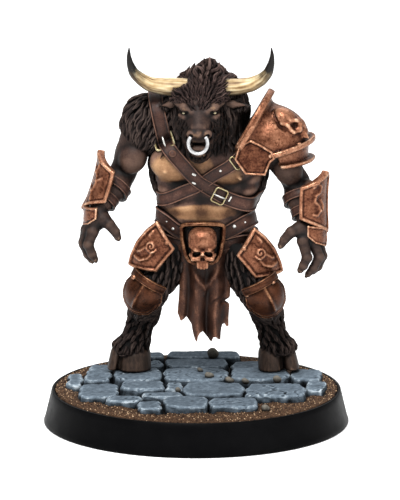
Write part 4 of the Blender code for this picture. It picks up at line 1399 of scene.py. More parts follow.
def hand_guard(centre, normal, up, side):
    """The small plate over the back of the hand."""
    corners = ((-2.3, 2.0), (2.0, 1.4), (2.5, -0.8), (2.0, -2.0), (-0.8, -1.1), (-2.3, 0.1))
    outline = [(side * x, y) for x, y in corners]
    return plate(facing(centre, normal, up), outline, 0.8, rim=0.35, rise=0.18, round_x=3.0, cell=0.15)


# The way that the shoulder guard's inner side faces
GUARD_INNER = (-0.862, 0.1, 0.498)


def shoulder_dome():
    """The shoulder guard's dome, its banded rim and the cup under it, with a skull that stands out of it."""
    clay = Clay((2, -5, 28), (24, 14, 49), 0.19)
    centre = np.array((11.4, 4.2, 38.8))
    lower = np.array((0.26, 0.0, -1.0)) / hypot(0.26, 1.0)
    inner = np.array(GUARD_INNER)
    clay.cap(centre, (7.2, 6.3, 6.1), ((centre + lower * 1.4, lower), (centre + inner * 3.4, inner)), soft=0)
    # Towards the collar the dome flares out
    neck = centre + inner * 3.4
    clay.cap(
        neck, (6.2, 6.8, 6.2),
        ((neck, inner), (neck - inner * 0.5, -inner), ((6.8, 0, 38.9), (-0.5, 0, -0.866))), soft=2.0,
    )
    cup = centre + (2.6, -0.1, -1.2)
    base = np.array((0.12, 0.0, -1.0))
    side = np.array((-1.0, 0.0, -0.35))
    end = (13.6, 0.0, 35.8)
    clay.cap(cup, (4.4, 4.7, 5.0), ((cup + base * 2.1, base), (end, side)))
    clay.cap(
        cup, (5.7, 5.5, 5.9), ((cup + base * 2.6, base), (cup + base * 1.95, -base), (end, side)), soft=0.9,
    )
    clay.cap(centre + (0.3, 0, 0), (7.85, 6.9, 6.85), (
        (centre + lower * 1.95, lower), (centre + lower * 1.0, -lower), ((11.7, 0, 0), (-1, 0, 0)),
    ))
    # The skull looks down over the rim
    clay.ball((14.3, 1.3, 43.0), (2.3, 2.0, 1.8), (0, 28, 0), soft=0.15)
    clay.ball((16.3, 1.5, 41.8), (1.7, 1.75, 1.5), (0, 30, 0), soft=0.3)
    clay.ball((17.5, 1.7, 40.8), (0.8, 1.2, 0.8), soft=0.3)
    clay.limb(
        ((12.6, 0.9, 44.5), (12.9, -0.2, 43.3), (13.6, -0.7, 42.2), (14.7, -0.9, 41.4)),
        (0.2, 0.3, 0.32, 0.26), soft=0.1, cut=True,
    )
    clay.limb(
        ((13.9, -0.5, 42.6), (14.9, -0.6, 42.3), (15.4, -0.5, 41.6), (15.9, -0.6, 41.1)),
        (0.24, 0.34, 0.34, 0.3), soft=0.3,
    )
    clay.limb(((15.3, -0.4, 43.0), (16.3, 0.0, 43.0), (17.1, 0.4, 42.5)), (0.24, 0.3, 0.26), soft=0.3)
    clay.ball((16.2, -0.5, 42.2), (0.5, 0.75, 0.5), soft=0.25, cut=True)
    clay.limb(((15.9, -0.5, 41.1), (16.8, 0.0, 41.3), (17.3, 0.2, 41.7)), (0.28, 0.26, 0.2), soft=0.3)
    clay.ball((17.5, 0.2, 41.7), (0.2, 0.4, 0.3), soft=0.15, cut=True)
    for k in range(3):
        clay.limb(
            ((17.0 + 0.42 * k, 0.5 + 0.1 * k, 41.0 - 0.1 * k), (17.3 + 0.48 * k, 0.5, 40.0)), (0.22, 0.18),
            soft=0.15,
        )
    return clay.skin()


def collar():
    """The standing collar at the shoulder guard's inner edge."""
    arc = [(6.3 * cos(radians(t)), 7.3 * sin(radians(t))) for t in range(-20, 201, 10)]
    middle = (8.45, 4.2, 41.1)
    place = facing(middle, GUARD_INNER, (0.5, 0, 0.866))
    # The field's darkening paints shade onto the collar's inner face, which the head and fur shadow
    return plate(place, arc, thickness=0.95, rim=0.6, rise=0.25, cell=0.2, field=0.7)


def front_plate():
    """The small plate that hangs from the shoulder guard over the chest."""
    outline = (
        (-0.6, 3.0), (-2.6, 2.0), (-3.3, -0.4), (-1.4, -2.8), (1.9, -2.9), (2.7, -0.8), (3.5, -0.1),
        (3.0, 1.1), (1.0, 2.3),
    )
    place = facing((9.4, -2.6, 37.3), (-0.12, -1, 0.1), (0, 0, 1))
    return plate(
        place, outline, thickness=1.1, rim=0.42, rise=0.2, round_x=14, cell=0.15, field=0.14, sink=0.12,
    )


# Broad folds: how far each goes back, its place at the hem, its drift to the belt and its breadth
FOLDS = (
    (-1.05, 0.3, -0.5, 0.85), (-1.0, 3.3, 0.2, 0.75), (0.75, 1.8, 0, 0.55), (0.6, -1.2, 0, 0.5),
    (-0.3, -2.3, 0, 0.5), (0.25, 4.6, 0, 0.35),
)


def loincloth():
    """The hanging cloth: broad upright folds, a slack fold under the buckle and a torn lower edge."""
    columns, rows = 84, 84
    top = 22.6
    edge = (
        (-2.9, 10.6), (-2.57, 9.9), (-2.37, 9.3), (-1.9, 9.6), (-1.42, 10.0), (-0.9, 9.4), (-0.6, 9.0),
        (-0.45, 7.8), (-0.15, 6.4), (0.15, 6.2), (0.4, 7.1), (0.75, 7.7), (1.24, 7.7), (1.7, 6.9),
        (2.25, 6.1),
        (2.55, 6.1), (2.9, 6.9), (3.25, 7.0), (3.7, 6.4), (4.0, 6.5), (4.2, 7.8), (4.45, 8.8), (4.8, 8.8),
        (5.15, 8.3), (5.5, 8.4),
    )
    edge_x, edge_z = zip(*edge)
    front_rows, back_rows = [], []
    for j in range(rows + 1):
        v = j / rows
        for i in range(columns + 1):
            u = i / columns
            x = -2.9 + 8.4 * u
            bottom = np.interp(x, edge_x, edge_z) + 0.12 * noise(Vector((x * 3.1, 0.3, 1.7)))
            z = top + (bottom - top) * v
            hang = 0.3 + 0.7 * v
            y = 0.25 + 1.3 * (2 * u - 1) ** 2 - 0.25 * v
            for push, middle, drift, breadth in FOLDS:
                y += push * hang * exp(-((x - middle - drift * (1 - v)) / breadth) ** 2)
            # The slack fold: a V under the buckle
            slack = (z - (15.0 + 1.35 * abs(x - 1.4))) / 0.9
            y -= 0.55 * exp(-slack * slack) * exp(-((x - 1.4) / 2.4) ** 4)
            crease = (z - (12.3 + 0.62 * (x - 2.2))) / 0.3
            y += 0.25 * exp(-crease * crease) * exp(-((x - 3.4) / 1.1) ** 4)
            ripple = 0.03 * noise(Vector((x * 2.4, z * 0.9, 9.0)))
            y += 0.14 * noise(Vector((x * 0.7, z * 0.25, 4.0))) + ripple
            sway = x + 0.2 * sin(z * 0.5) * v
            sway -= 0.8 * max(0, u - 0.8) * 5 * exp(-((z - 12.6) / 0.4) ** 2)
            front_rows.append((sway, y - 0.3, z))
            back_rows.append((sway, y + 0.35, z))
    wide = columns + 1
    faces = []
    offset = len(front_rows)
    for j in range(rows):
        for i in range(columns):
            a, b = j * wide + i, (j + 1) * wide + i
            faces.append([a, b, b + 1, a + 1])
            faces.append([a + offset, a + 1 + offset, b + 1 + offset, b + offset])
    rim = (
        [j * wide for j in range(rows + 1)] + [rows * wide + i for i in range(1, wide)]
        + [j * wide + columns for j in range(rows - 1, -1, -1)] + list(range(columns - 1, 0, -1))
    )
    for a, b in zip(rim, rim[1:] + rim[:1]):
        faces.append([b, a, a + offset, b + offset])
    return np.array(front_rows + back_rows), faces


# The base and the paving

STONES = (
    (2.4, 9.8, -17.7, -11.8, -0.4), (-5.2, 1.7, -18.2, -11.3, -0.3), (-9.4, -5.7, -18.4, -13.2, -0.6),
    (-14.2, -9.1, -13.9, -10.1, -0.5), (8.3, 17.6, -11.3, -3.0, -0.2), (-1.9, 7.6, -10.2, -1.7, -0.3),
    (-12.1, -5.4, -7.1, -1.6, -0.1), (-8.6, -2.5, -10.8, -7.7, -0.5), (-4.8, -2.5, -7.1, -1.6, -0.3),
    (-19.0, -12.8, -10.9, -2.0, -0.5), (5.8, 14.9, -1.0, 7.0, 0.0), (-5.2, 5.1, -1.0, 7.5, -0.1),
    (-13.5, -5.9, -0.9, 7.6, 0.0), (-18.2, -14.2, -1.2, 6.2, -0.2), (15.6, 20.4, 0.2, 7.4, -0.3),
    (18.0, 21.4, -6.6, -0.4, -0.5), (-21.0, -18.8, -2.6, 5.2, -0.6), (-4.9, 5.1, 8.2, 13.9, -0.2),
    (6.0, 13.2, 7.8, 13.2, -0.5), (-13.1, -5.6, 8.4, 13.6, -0.3), (-17.4, -13.8, 7.2, 12.0, -0.7),
    (-4.7, 7.2, 14.7, 19.4, -0.2), (-12.1, -5.5, 14.4, 18.2, -0.1),
)
PEBBLES = (
    (2.1, 0.8, 7.5, 1.2), (5.4, -2.0, 7.4, 1.2), (8.0, -2.4, 7.3, 1.1), (13.2, -2.0, 7.5, 1.2),
    (2.7, 14.8, 7.8, 1.6), (-3.0, -7.4, 7.1, 0.8), (11.2, -17.0, 6.4, 1.2), (14.4, 10.4, 6.4, 1.1),
    (-9.4, 19.0, 6.3, 1.1), (0.6, 4.6, 7.5, 0.8),
)


# A stone is a little larger than its row says, and its net has about this step
STONE_SPREAD = 0.17
STONE_STEP = 0.28


def top_radius():
    """The radius of the base's top edge."""
    return BASE_DIAMETER / 2 - BASE_HEIGHT * tan(BASE_TAPER)


def between_rings(first, second, sides):
    """Faces between two rings of points, each given by the number of its first point."""
    steps = [(k, (k + 1) % sides) for k in range(sides)]
    return [[first + k, second + k, second + n, first + n] for k, n in steps]


def lathe(profile, sides):
    """A solid of revolution about z through (radius, height) points, from the axis to the axis."""
    points, faces, rings = [], [], []
    for radius, height in profile:
        if radius == 0:
            rings.append([len(points)] * sides)
            points.append((0, 0, height))
            continue
        rings.append(list(range(len(points), len(points) + sides)))
        turns = (tau * k / sides for k in range(sides))
        points += [(radius * cos(t), radius * sin(t), height) for t in turns]
    for low, high in zip(rings, rings[1:]):
        for k in range(sides):
            n = (k + 1) % sides
            faces.append(list(dict.fromkeys((low[k], low[n], high[n], high[k]))))
    return points, faces


def round_base():
    """The black base: a tapered disc with softened edges and a lip round a shallow recess."""
    rim = top_radius()
    floor = BASE_HEIGHT - RECESS_DEPTH
    recess = rim - LIP_WIDTH
    foot = BASE_DIAMETER / 2
    soft, foot_round, foot_flat = 0.00012, 0.0003, 0.0004
    profile = [(0, 0), (foot - foot_flat, 0)]
    for turn in (0.4, 0.8, 1.2, 1.57):
        out = foot - foot_round + foot_round * sin(turn)
        profile.append((out, foot_round - foot_round * cos(turn)))
    for share in (0.15, 0.5, 0.85, 1.0):
        out = foot - (BASE_HEIGHT - soft) * tan(BASE_TAPER) * share
        profile.append((out, BASE_HEIGHT * share - soft * share))
    profile += [(rim - soft * 0.6, BASE_HEIGHT), (recess + soft, BASE_HEIGHT), (recess, BASE_HEIGHT - soft)]
    profile += [(recess, floor), (0, floor)]
    return lathe(profile, 180)


def paving_stone(left, right, near, far, top, reach, seed):
    """One hewn slab in millimetres: rounded corners, worn and chipped edges, a rough top and dark sides."""
    cx, cy = (left + right) / 2, (near + far) / 2
    hw, hd = (right - left) / 2 + STONE_SPREAD, (far - near) / 2 + STONE_SPREAD
    nx, ny = max(int(hw * 2 / STONE_STEP), 8), max(int(hd * 2 / STONE_STEP), 8)
    # Rows lie closer together near the edges, where the stone is worn
    crowding, rounding = 1.35, 0.27
    us = np.sin(np.linspace(-1, 1, nx + 1) * crowding) / sin(crowding)
    vs = np.sin(np.linspace(-1, 1, ny + 1) * crowding) / sin(crowding)
    points, shade = [], []
    for v in vs:
        for u in us:
            x = cx + u * hw * sqrt(1 - rounding * v * v * u * u)
            y = cy + v * hd * sqrt(1 - rounding * u * u * v * v)
            wander = Vector((x * 0.4, y * 0.4, seed * 1.7))
            fine = Vector((x * 1.6, y * 1.6, seed * 2.3))
            x += (0.6 * noise(wander) + 0.07 * noise(fine)) * abs(u) ** 3
            nick = 0.07 * noise(fine + Vector((2, 9, 4)))
            y += (0.6 * noise(wander + Vector((7, 3, 1))) + nick) * abs(v) ** 3
            while hypot(x, y) > reach:
                x, y = x + (cx - x) * 0.03, y + (cy - y) * 0.03
            edge = min((1 - abs(u)) * hw, (1 - abs(v)) * hd)
            corner = hypot(max(0, abs(u) * hw - hw + 1.1), max(0, abs(v) * hd - hd + 1.1)) / 1.1
            worn = 0.24 + 0.12 * noise(Vector((x * 0.5, y * 0.5, seed + 5)))
            fall = max(0, 1 - edge / 0.5)
            z = top + 0.04 - worn * fall ** 2 - 0.28 * max(0, corner - 0.75) ** 1.5
            pit = 0.025 * noise(Vector((x * 1.9, y * 1.9, seed)))
            z += 0.13 * noise(Vector((x * 0.33, y * 0.33, seed))) + pit
            chip = noise(Vector((x * 0.9, y * 0.9, seed + 20)))
            z -= 0.7 * max(0, chip - 0.36) * max(0, 1 - edge / 1.3)
            crack = abs(noise(Vector((x * 0.25, y * 0.25, seed + 40))) - 0.1)
            z -= 0.22 * max(0, 1 - crack / 0.03) * (seed % 4 < 2)
            points.append((x, y, z))
            shade.append(0.0)
    wide = nx + 1
    rim = (
        list(range(wide)) + [j * wide + nx for j in range(1, ny + 1)]
        + [ny * wide + i for i in range(nx - 1, -1, -1)] + [j * wide for j in range(ny - 1, 0, -1)]
    )
    faces = [[j * wide + i, j * wide + i + 1, (j + 1) * wide + i + 1, (j + 1) * wide + i]
             for j in range(ny) for i in range(nx)]
    previous = rim
    bottom = -STONE_RISE * 1000 - 0.3
    # Rings go down the side to the bottom, darker as they go
    for drop in (0.12, 0.3, 0.55, 0.9, 1.4, None):
        ring = []
        for k in rim:
            x, y, z = points[k]
            level = bottom if drop is None else z - drop
            out = 0.1 * noise(Vector((x * 0.8, y * 0.8, level * 1.3 + seed))) + 0.16 * min(drop or 1.4, 1.0)
            ring.append(len(points))
            points.append((x + (x - cx) / hw * out, y + (y - cy) / hd * out, level))
            shade.append(-0.16 * min(1.0, (drop or 1.8) / 0.8))
        for a, b, c, d in zip(previous, previous[1:] + previous[:1], ring[1:] + ring[:1], ring):
            faces.append([a, d, c, b])
        previous = ring
    faces.append(previous[::-1])
    return points, faces, shade


def ground(stones):
    """The sandy ground between the stones, as a thin cast disc, and how sandy each point of it is."""
    radius = (top_radius() - LIP_WIDTH - FIT_GAP) * 1000
    low = (BASE_HEIGHT - RECESS_DEPTH + FIT_GAP) * 1000
    level = BASE_HEIGHT * 1000
    rings, sides = 64, 150
    points, sandy = [(0, 0, level)], [0.0]
    for j in range(1, rings + 1):
        r = radius * j / rings
        for k in range(sides):
            t = tau * k / sides
            x, y = r * cos(t), r * sin(t)
            gaps = sorted(-min(x - l, q - x, y - n, f - y) for l, q, n, f, _ in stones)
            joint = gaps[1] < 1.1
            edge = radius - r
            heap = 0.25 * noise(Vector((x * 0.35, y * 0.35, 2))) + 0.22
            z = level + (0.0 if joint else 0.2 + heap) * min(1, edge / 1.6) if edge > 0.2 else level
            points.append((x, y, z if gaps[0] > -0.3 else level + 0.2))
            sandy.append(0.0 if joint or gaps[0] < -0.15 else 1.0)
    faces = [[0, 1 + k, 1 + (k + 1) % sides] for k in range(sides)]
    for j in range(rings - 1):
        a, b = 1 + j * sides, 1 + (j + 1) * sides
        faces += between_rings(a, b, sides)
    last = 1 + (rings - 1) * sides
    bottom = len(points)
    points += [(x, y, low) for x, y, _ in points[last:last + sides]]
    sandy += [0.0] * sides
    faces += between_rings(last, bottom, sides)
    faces.append([bottom + k for k in range(sides)][::-1])
    return np.array(points) / 1000, faces, sandy


# Putting it together

def make_body():
    """The bare body: torso, arms, hands, legs and hooves."""
    body = skinned(*torso())
    solid("torso", *body[:2], "hide", "hide", 0.9, {"tan": tan_mark(body[0])})
    for name, bones, biceps, side in (
        ("right arm", RIGHT_ARM, (-10.3, 2.9, 36.2), -1),
        ("left arm", LEFT_ARM, (15.0, 2.9, 34.2), 1),
    ):
        skins[name] = skinned(*arm(bones, biceps, side))
        solid(name.replace(" ", "_"), *skins[name][:2], "arm hide", "hide", 0.7)
    for name, wrist, palm, fingers, thumb in (
        ("right_hand", RIGHT_ARM[2], (-16.3, 0.4, 26.3), RIGHT_FINGERS, RIGHT_THUMB),
        ("left_hand", LEFT_ARM[2], (18.1, 0.4, 24.4), LEFT_FINGERS, LEFT_THUMB),
    ):
        solid(name, *hand(wrist, palm, fingers, thumb), "dark hide", "hide", 0.4)
        solid(name + "_claws", *claws((*fingers, thumb)), "hoof", "hoof", 0.3)
    for name, bones, out, inner, outer in (
        ("right", RIGHT_LEG, -1, RIGHT_INNER_TOE, RIGHT_OUTER_TOE),
        ("left", LEFT_LEG, 1, LEFT_INNER_TOE, LEFT_OUTER_TOE),
    ):
        skin = skinned(*leg(bones, out))
        skins[name + " leg"] = skin
        solid(name + "_leg", *skin[:2], "leg fur", "fur", 0.7, {"along": np.zeros(len(skin[0]))})
        solid(name + "_hoof", *hoof(inner, outer), "hoof", "hoof", 0.4)
    return body


def make_head():
    """The head with its horns, nose ring and eyes."""
    points, faces = head()
    across, high = np.abs(points[:, 0] - HEAD_X), points[:, 2]
    bridge = np.clip((1.4 - across) / 0.4, 0, 1) * np.clip((46.0 - high) / 0.8, 0, 1)
    brow = np.clip(1.5 - np.hypot((across - 2.2) / 1.1, (high - 46.0) / 0.7), 0, 1)
    pad = np.clip((42.9 - high) / 0.4, 0, 1) * np.clip((high - 40.6) / 0.4, 0, 1)
    mark = np.maximum(np.maximum(0.2 * bridge, 0.26 * brow), 0.22 * pad) * (points[:, 1] < -2.8)
    solid("head", points, faces, "face", "hide", 0.45, {"tan": mark})
    heights = (48.3, 48.5, 48.9, 49.85, 51.0, 52.6, 53.95, 55.3)
    depths = (0.6, 0.6, 0.4, 0.1, -0.3, -0.7, -0.95, -1.1)
    for name, across, flutes in (
        ("right_horn", (-1.2, -5.2, -7.5, -9.0, -10.15, -10.75, -10.95, -10.9), 1.0),
        ("left_horn", (2.4, 6.7, 9.0, 10.7, 11.7, 12.2, 12.35, 12.24), 9.0),
    ):
        horn_points, horn_faces, marks = horn(list(zip(across, depths, heights)), flutes)
        solid(name, horn_points, horn_faces, "horn", "horn", 0.5, marks)
    turns = [radians(40 - 8.125 * k) for k in range(33)]
    ring = [(0.3 + 1.55 * cos(t), -7.3 + 0.55 * sin(t), 40.75 + 1.55 * sin(t)) for t in turns]
    solid("nose_ring", *tube(ring, 0.29, 20), "ring steel", "silver", 0.3)
    eyes = [((HEAD_X + side * 2.42, -3.0, 44.82), (side * 0.25, -1, 0.0)) for side in (-1, 1)]
    studs("eyes", eyes, 0.38, "eye", "eye", 0.9)
    return skinned(points, faces)


def make_hair(body, head_skin):
    """Every coat of hair, each with its own flow."""
    brow = Vector((HEAD_X, -5.5, 44.5))

    def crown(p):
        return (p - brow) * Vector((0.8, 1.0, 0.7))

    def sideways(p):
        return Vector((1.0 if p.x > HEAD_X else -1.0, 0.2, 0.6))

    def outwards(p):
        return Vector((0.5 * (p.x - 1.9), 0.3, 0.5 * (p.z - 46.0)))

    def mane(p):
        return Vector((0.12 * (p.x - 1.9), 0.5, -1.0))

    def down(p):
        return Vector((0.05 * (p.x - 1.5), -0.1, -1.0))

    def beard(p):
        return Vector((0.28 * (p.x - HEAD_X), -0.35, -1.0))

    def shoulder(p):
        return Vector((-0.35, -0.15, -1.0))

    # After the flow, each coat has its spacing, length, width, lift and wave
    coat("crest", head_skin, lambda x, y, z: z > 46.6 and -3.4 < y < 6.5,
         1, crown, 0.44, 2.0, 0.22, 0.55, 0.25, "crest fur")
    coat("crest_tufts", head_skin, lambda x, y, z: z > 48.4 and abs(x - 1.8) < 1.7 and -1.5 < y < 5.0,
         14, crown, 0.9, 1.9, 0.42, 1.2, 0.2, "crest fur")
    coat("crest_back", head_skin, lambda x, y, z: z > 46.4 and 1.5 < y < 8.5,
         15, outwards, 0.75, 1.6, 0.46, 1.25, 0.15, "crest fur", low=0.1)
    coat("horn_root_hair", head_skin,
         lambda x, y, z: 46.9 < z < 49.6 and 2.3 < abs(x - HEAD_X) < 4.3 and -3.0 < y < 1.5,
         17, sideways, 0.5, 1.9, 0.3, 1.2, 0.2, "crest fur", low=0.2)
    coat("forehead_hair", head_skin,
         lambda x, y, z: z > 45.5 and y < -2.4 and (z > 46.5 or abs(x - HEAD_X) < 1.1),
         11, crown, 0.42, 1.6, 0.18, 0.25, 0.4, "crest fur")
    coat("cheek_hair", head_skin,
         lambda x, y, z: abs(x - HEAD_X) > 1.9 and 40.5 < z < 44.1 and -5.2 < y < 2.0,
         12, beard, 0.45, 1.4, 0.2, 0.22, 0.3, "cheek fur")
    coat("mane", head_skin, lambda x, y, z: y > 3.2 or (y > 0.2 and abs(x - HEAD_X) > 3.0),
         2, mane, 0.8, 3.6, 0.44, 0.7, 0.25)
    coat("beard", head_skin,
         lambda x, y, z: (z < 42.6 and y > -4.9 and abs(x - HEAD_X) > 1.3) or (z < 38.6 and y > -6.2),
         3, beard, 0.62, 3.0, 0.34, 0.6, 0.3, "cheek fur")
    coat("throat_fur", body, lambda x, y, z: z > 38.4 and y < 1.5 and abs(x - 1.6) < 6.5,
         13, down, 0.75, 2.2, 0.3, 0.4, 0.3, "cheek fur")
    coat("neck_and_back", body,
         lambda x, y, z: (z > 40.5 and y > 0.5) or (y > 8.2 and z > 25) or (z > 38.5 and y > 4.5),
         4, down, 0.95, 3.4, 0.5, 0.6, 0.25)
    ball = skinned(*right_shoulder())
    solid("right_shoulder", *ball[:2], "fur", "fur", 0.6, {"along": np.zeros(len(ball[0]))})
    coat("right_shoulder_fur", ball, lambda x, y, z: z > 38.0,
         5, shoulder, 0.7, 2.6, 0.42, 0.95, 0.3, low=0.2)
    coat("flank_fur", body, lambda x, y, z: abs(x - 2.0) > 7.0 and 29 < z < 38 and 3.5 < y < 9,
         6, down, 0.75, 2.2, 0.34, 0.4, 0.25)
    for side, bones in (("right", RIGHT_LEG), ("left", LEFT_LEG)):
        fetlock = Vector(bones[3])

        def spreading(p):
            return Vector((0.45 * (p.x - fetlock.x), 0.45 * (p.y - fetlock.y), -1.0))

        skin = skins[side + " leg"]
        coat(side + "_leg_fur", skin, lambda x, y, z: 4.9 < z < 21.0,
             7, down, 0.82, 1.8, 0.4, 0.45, 0.2, "leg fur")
        coat(side + "_fetlock_fur", skin, lambda x, y, z: 3.0 < z < 4.9,
             16, spreading, 0.6, 1.5, 0.34, 0.65, 0.15, "leg fur", low=0.15)


def right_shoulder():
    """The bare shoulder's mass under its fur."""
    clay = Clay((-13, -1, 35), (1, 10, 49), 0.35)
    clay.ball((-8.2, 4.3, 41.6), (3.3, 3.5, 4.0), soft=0)
    clay.ball((-5.2, 4.6, 43.0), (3.6, 3.4, 3.2), soft=1.0)
    return clay.skin()


def dressed_skin(body):
    """The torso with its bare shoulder's fur, for what is worn over both."""
    shoulder_points, shoulder_faces = right_shoulder()
    middle = shoulder_points.mean(0)
    away = shoulder_points - middle
    fluffed = shoulder_points + away / np.linalg.norm(away, axis=1)[:, None] * 0.7
    points, faces = gathered((body[:2], (fluffed, shoulder_faces)))
    return skin_tree(points, faces)


def make_straps(tree, body_tree):
    """The two chest straps and the two belts, with their buckles, boss and rivets."""
    belts = []
    for name, skin, seen, hidden, width, thickness in (
        ("cross_strap", tree, (
            (7.16, 36.8), (5.44, 35.3), (3.2, 34.2), (0.9, 32.6), (-0.25, 31.82), (-2.8, 30.8),
            (-5.38, 29.72),
        ), ((-7.0, 5.0, 29.3), (-4.5, 12.0, 30.6), (1.0, 14.0, 33.5), (6.0, 13.0, 37.5), (10.0, 9.0, 41.0),
            (10.0, 2.0, 39.0)), 2.2, 0.45),
        ("shoulder_strap", tree, (
            (-6.67, 47.2), (-6.3, 44.86), (-5.75, 41.84), (-5.25, 39.32), (-4.1, 37.64), (-2.5, 35.88),
            (-0.9, 34.2), (0.3, 33.0), (2.58, 31.5), (4.71, 30.2), (7.16, 29.2), (8.6, 29.0),
        ), ((10.5, 5.0, 29.6), (8.5, 12.0, 31.0), (4.0, 14.0, 35.0), (-1.0, 14.0, 40.0), (-5.0, 12.0, 44.5),
            (-6.6, 7.0, 47.6)), 2.4, 0.6),
        ("low_belt", body_tree, (
            (-4.6, 23.6), (-3.0, 22.6), (1.0, 21.6), (5.0, 22.4), (7.6, 23.6),
        ), ((9.0, 6.0, 23.2), (5.0, 12.0, 21.4), (-2.0, 12.0, 21.4), (-6.4, 6.0, 23.4)), 2.0, 0.55),
        ("belt", body_tree, (
            (-5.9, 27.3), (-4.6, 26.2), (-3.2, 24.9), (1.0, 23.2), (5.2, 24.6), (7.2, 25.7), (8.8, 26.6),
        ), ((10.0, 5.5, 26.0), (7.5, 12.0, 25.0), (1.0, 14.0, 24.2), (-4.5, 12.0, 25.0), (-7.5, 5.5, 26.8)),
            2.5, 0.65),
    ):
        belts.append(strap(skin, seen, hidden, width, thickness))
        leather(name, belts[-1])
    points, faces = gathered([belt[:2] for belt in belts])
    over = skin_tree(points, faces)
    brass, silver = [], []
    for x, h, along, across, long, wire, lift, normal in (
        (-5.05, 39.15, (0.36, 0, -0.93), 3.1, 2.5, 0.2, 0.6, (-0.25, -1, 0.35)),
        (3.8, 30.4, (0.9, 0, -0.45), 2.5, 2.1, 0.14, 0.15, None),
    ):
        loop, tongue = strap_buckle(over, x, h, along, across, long, wire, lift, normal)
        brass.append(loop)
        silver.append(tongue)
    brass.append(strap_buckle(tree, 6.3, 35.9, (0.8, 0, 0.6), 2.3, 0.8, 0.14, 0.5)[0])
    for x, h, half, roll in ((-0.36, 33.98, (0.36, 0.14, 0.2), 25), (-0.36, 32.56, (0.36, 0.14, 0.16), 25),
                             (5.5, 29.9, (0.16, 0.14, 0.5), 30)):
        at, _ = front(over, x, h, 0.05)
        clay = Clay(np.array(at) - 1.2, np.array(at) + 1.2, 0.1)
        clay.slab(at, half, (0, roll, 0), corner=0.1, soft=0)
        silver.append(clay.skin())
    solid("strap_buckles", *gathered(brass), "brass", "brass", 0.3)
    solid("buckle_tongues", *gathered(silver), "silver", "silver", 0.3)
    studs("strap_boss", [front(over, -3.85, 37.45)], 0.62, "leather", "leather", 0.5)
    rivets = [front(over, x, h) for x, h in (
        (3.95, 34.57), (-3.78, 24.9), (-4.84, 26.1), (6.24, 25.28), (8.0, 26.0),
    )]
    studs("strap_rivets", rivets, [0.22, 0.26, 0.14, 0.32, 0.16], "silver", "silver", 0.6)


def make_armour():
    """The belt's plate, the plates on the limbs, the wraps and the shoulder guard."""
    armour("buckle_plate", skull_plate(), paint="dark bronze")
    solid("buckle_skull", *belt_skull(), "bronze", "bronze", 0.6, shade=-0.07)
    rivets = []
    for name, centre, side, mark in (
        ("right", (-7.7, -1.5, 22.2), -1, (-4.8, 22.5)), ("left", (10.8, -1.5, 21.1), 1, (7.8, 21.55)),
    ):
        rivets.append((armour(name + "_thigh_plate", thigh_plate(centre, side)), (mark,)))
    for name, knee, normal, up, marks in (
        ("right", RIGHT_LEG[1], (-0.35, -1, 0.15), (0.58, 0, 1), ((-10.8, 16.8), (-7.0, 14.5))),
        ("left", LEFT_LEG[1], (0.3, -1, 0.15), (-0.5, 0, 1), ((8.8, 13.2), (13.2, 15.1))),
    ):
        armour(name + "_knee_cup", knee_cop(knee, normal, up), paint="dark bronze")
        rivets.append((armour(name + "_knee_band", knee_band(knee, normal, up), paint="dark bronze"), marks))
    snake = [
        (((-1.0, 2.6), (-0.2, 3.2), (0.5, 2.6), (0.3, 1.7), (-0.5, 1.1), (-0.7, 0.2), (0.1, -0.5),
          (0.4, -1.4)), 0.26, 0.3),
        (((0.4, -1.4), (-0.2, -2.2), (-0.9, -2.0)), 0.22, 0.26),
        (((0.5, 0.4), (1.1, -0.4), (1.2, -1.3)), 0.18, 0.2),
    ]
    sprig = [
        (((0.1, 3.2), (-0.3, 1.6), (0.3, 0.0), (-0.2, -1.8), (0.2, -3.2)), 0.24, 0.26),
        (((-0.2, 1.5), (-1.2, 2.3)), 0.2, 0.22), (((0.3, 0.2), (1.3, 0.9)), 0.2, 0.22),
        (((-0.2, -1.6), (-1.2, -1.0)), 0.2, 0.22),
    ]
    for name, centre, normal, up, motif, hand_centre, bones in (
        (
            "right", (-16.4, 1.0, 32.6), (-0.86, -0.48, 0.28), (0.35, 0.1, 1), sprig, (-18.0, -0.2, 26.9),
            RIGHT_ARM,
        ),
        (
            "left", (19.9, -0.35, 29.4), (0.63, -0.78, 0.0), (-0.05, 0.1, 1), snake, (20.2, -0.7, 23.7),
            LEFT_ARM,
        ),
    ):
        side = -1 if name == "right" else 1
        armour(name + "_bracer", bracer(Vector(centre), normal, up, side, motif))
        armour(
            name + "_hand_guard", hand_guard(Vector(hand_centre), (normal[0], normal[1], 0), up, side), 0.3,
        )
        arm_tree = skins[name + " arm"][2]
        _, elbow, wrist = (Vector(p) for p in bones)
        for k, share in enumerate((0.4, 0.76)):
            leather(
                f"{name}_wrap_{k + 1}", band_round(arm_tree, elbow.lerp(wrist, share), wrist - elbow, 1.5),
            )
    points, faces = shoulder_dome()
    solid("shoulder_guard", points, faces, "bronze", "bronze", 0.5)
    rivets.append((skin_tree(points, faces), ((16.75, 39.05), (14.35, 37.6))))
    armour("shoulder_collar", collar())
    armour("chest_plate", front_plate(), 0.3)
    places = [front(tree, x, h, 0.05) for tree, marks in rivets for x, h in marks]
    studs("rivets", places, 0.4)


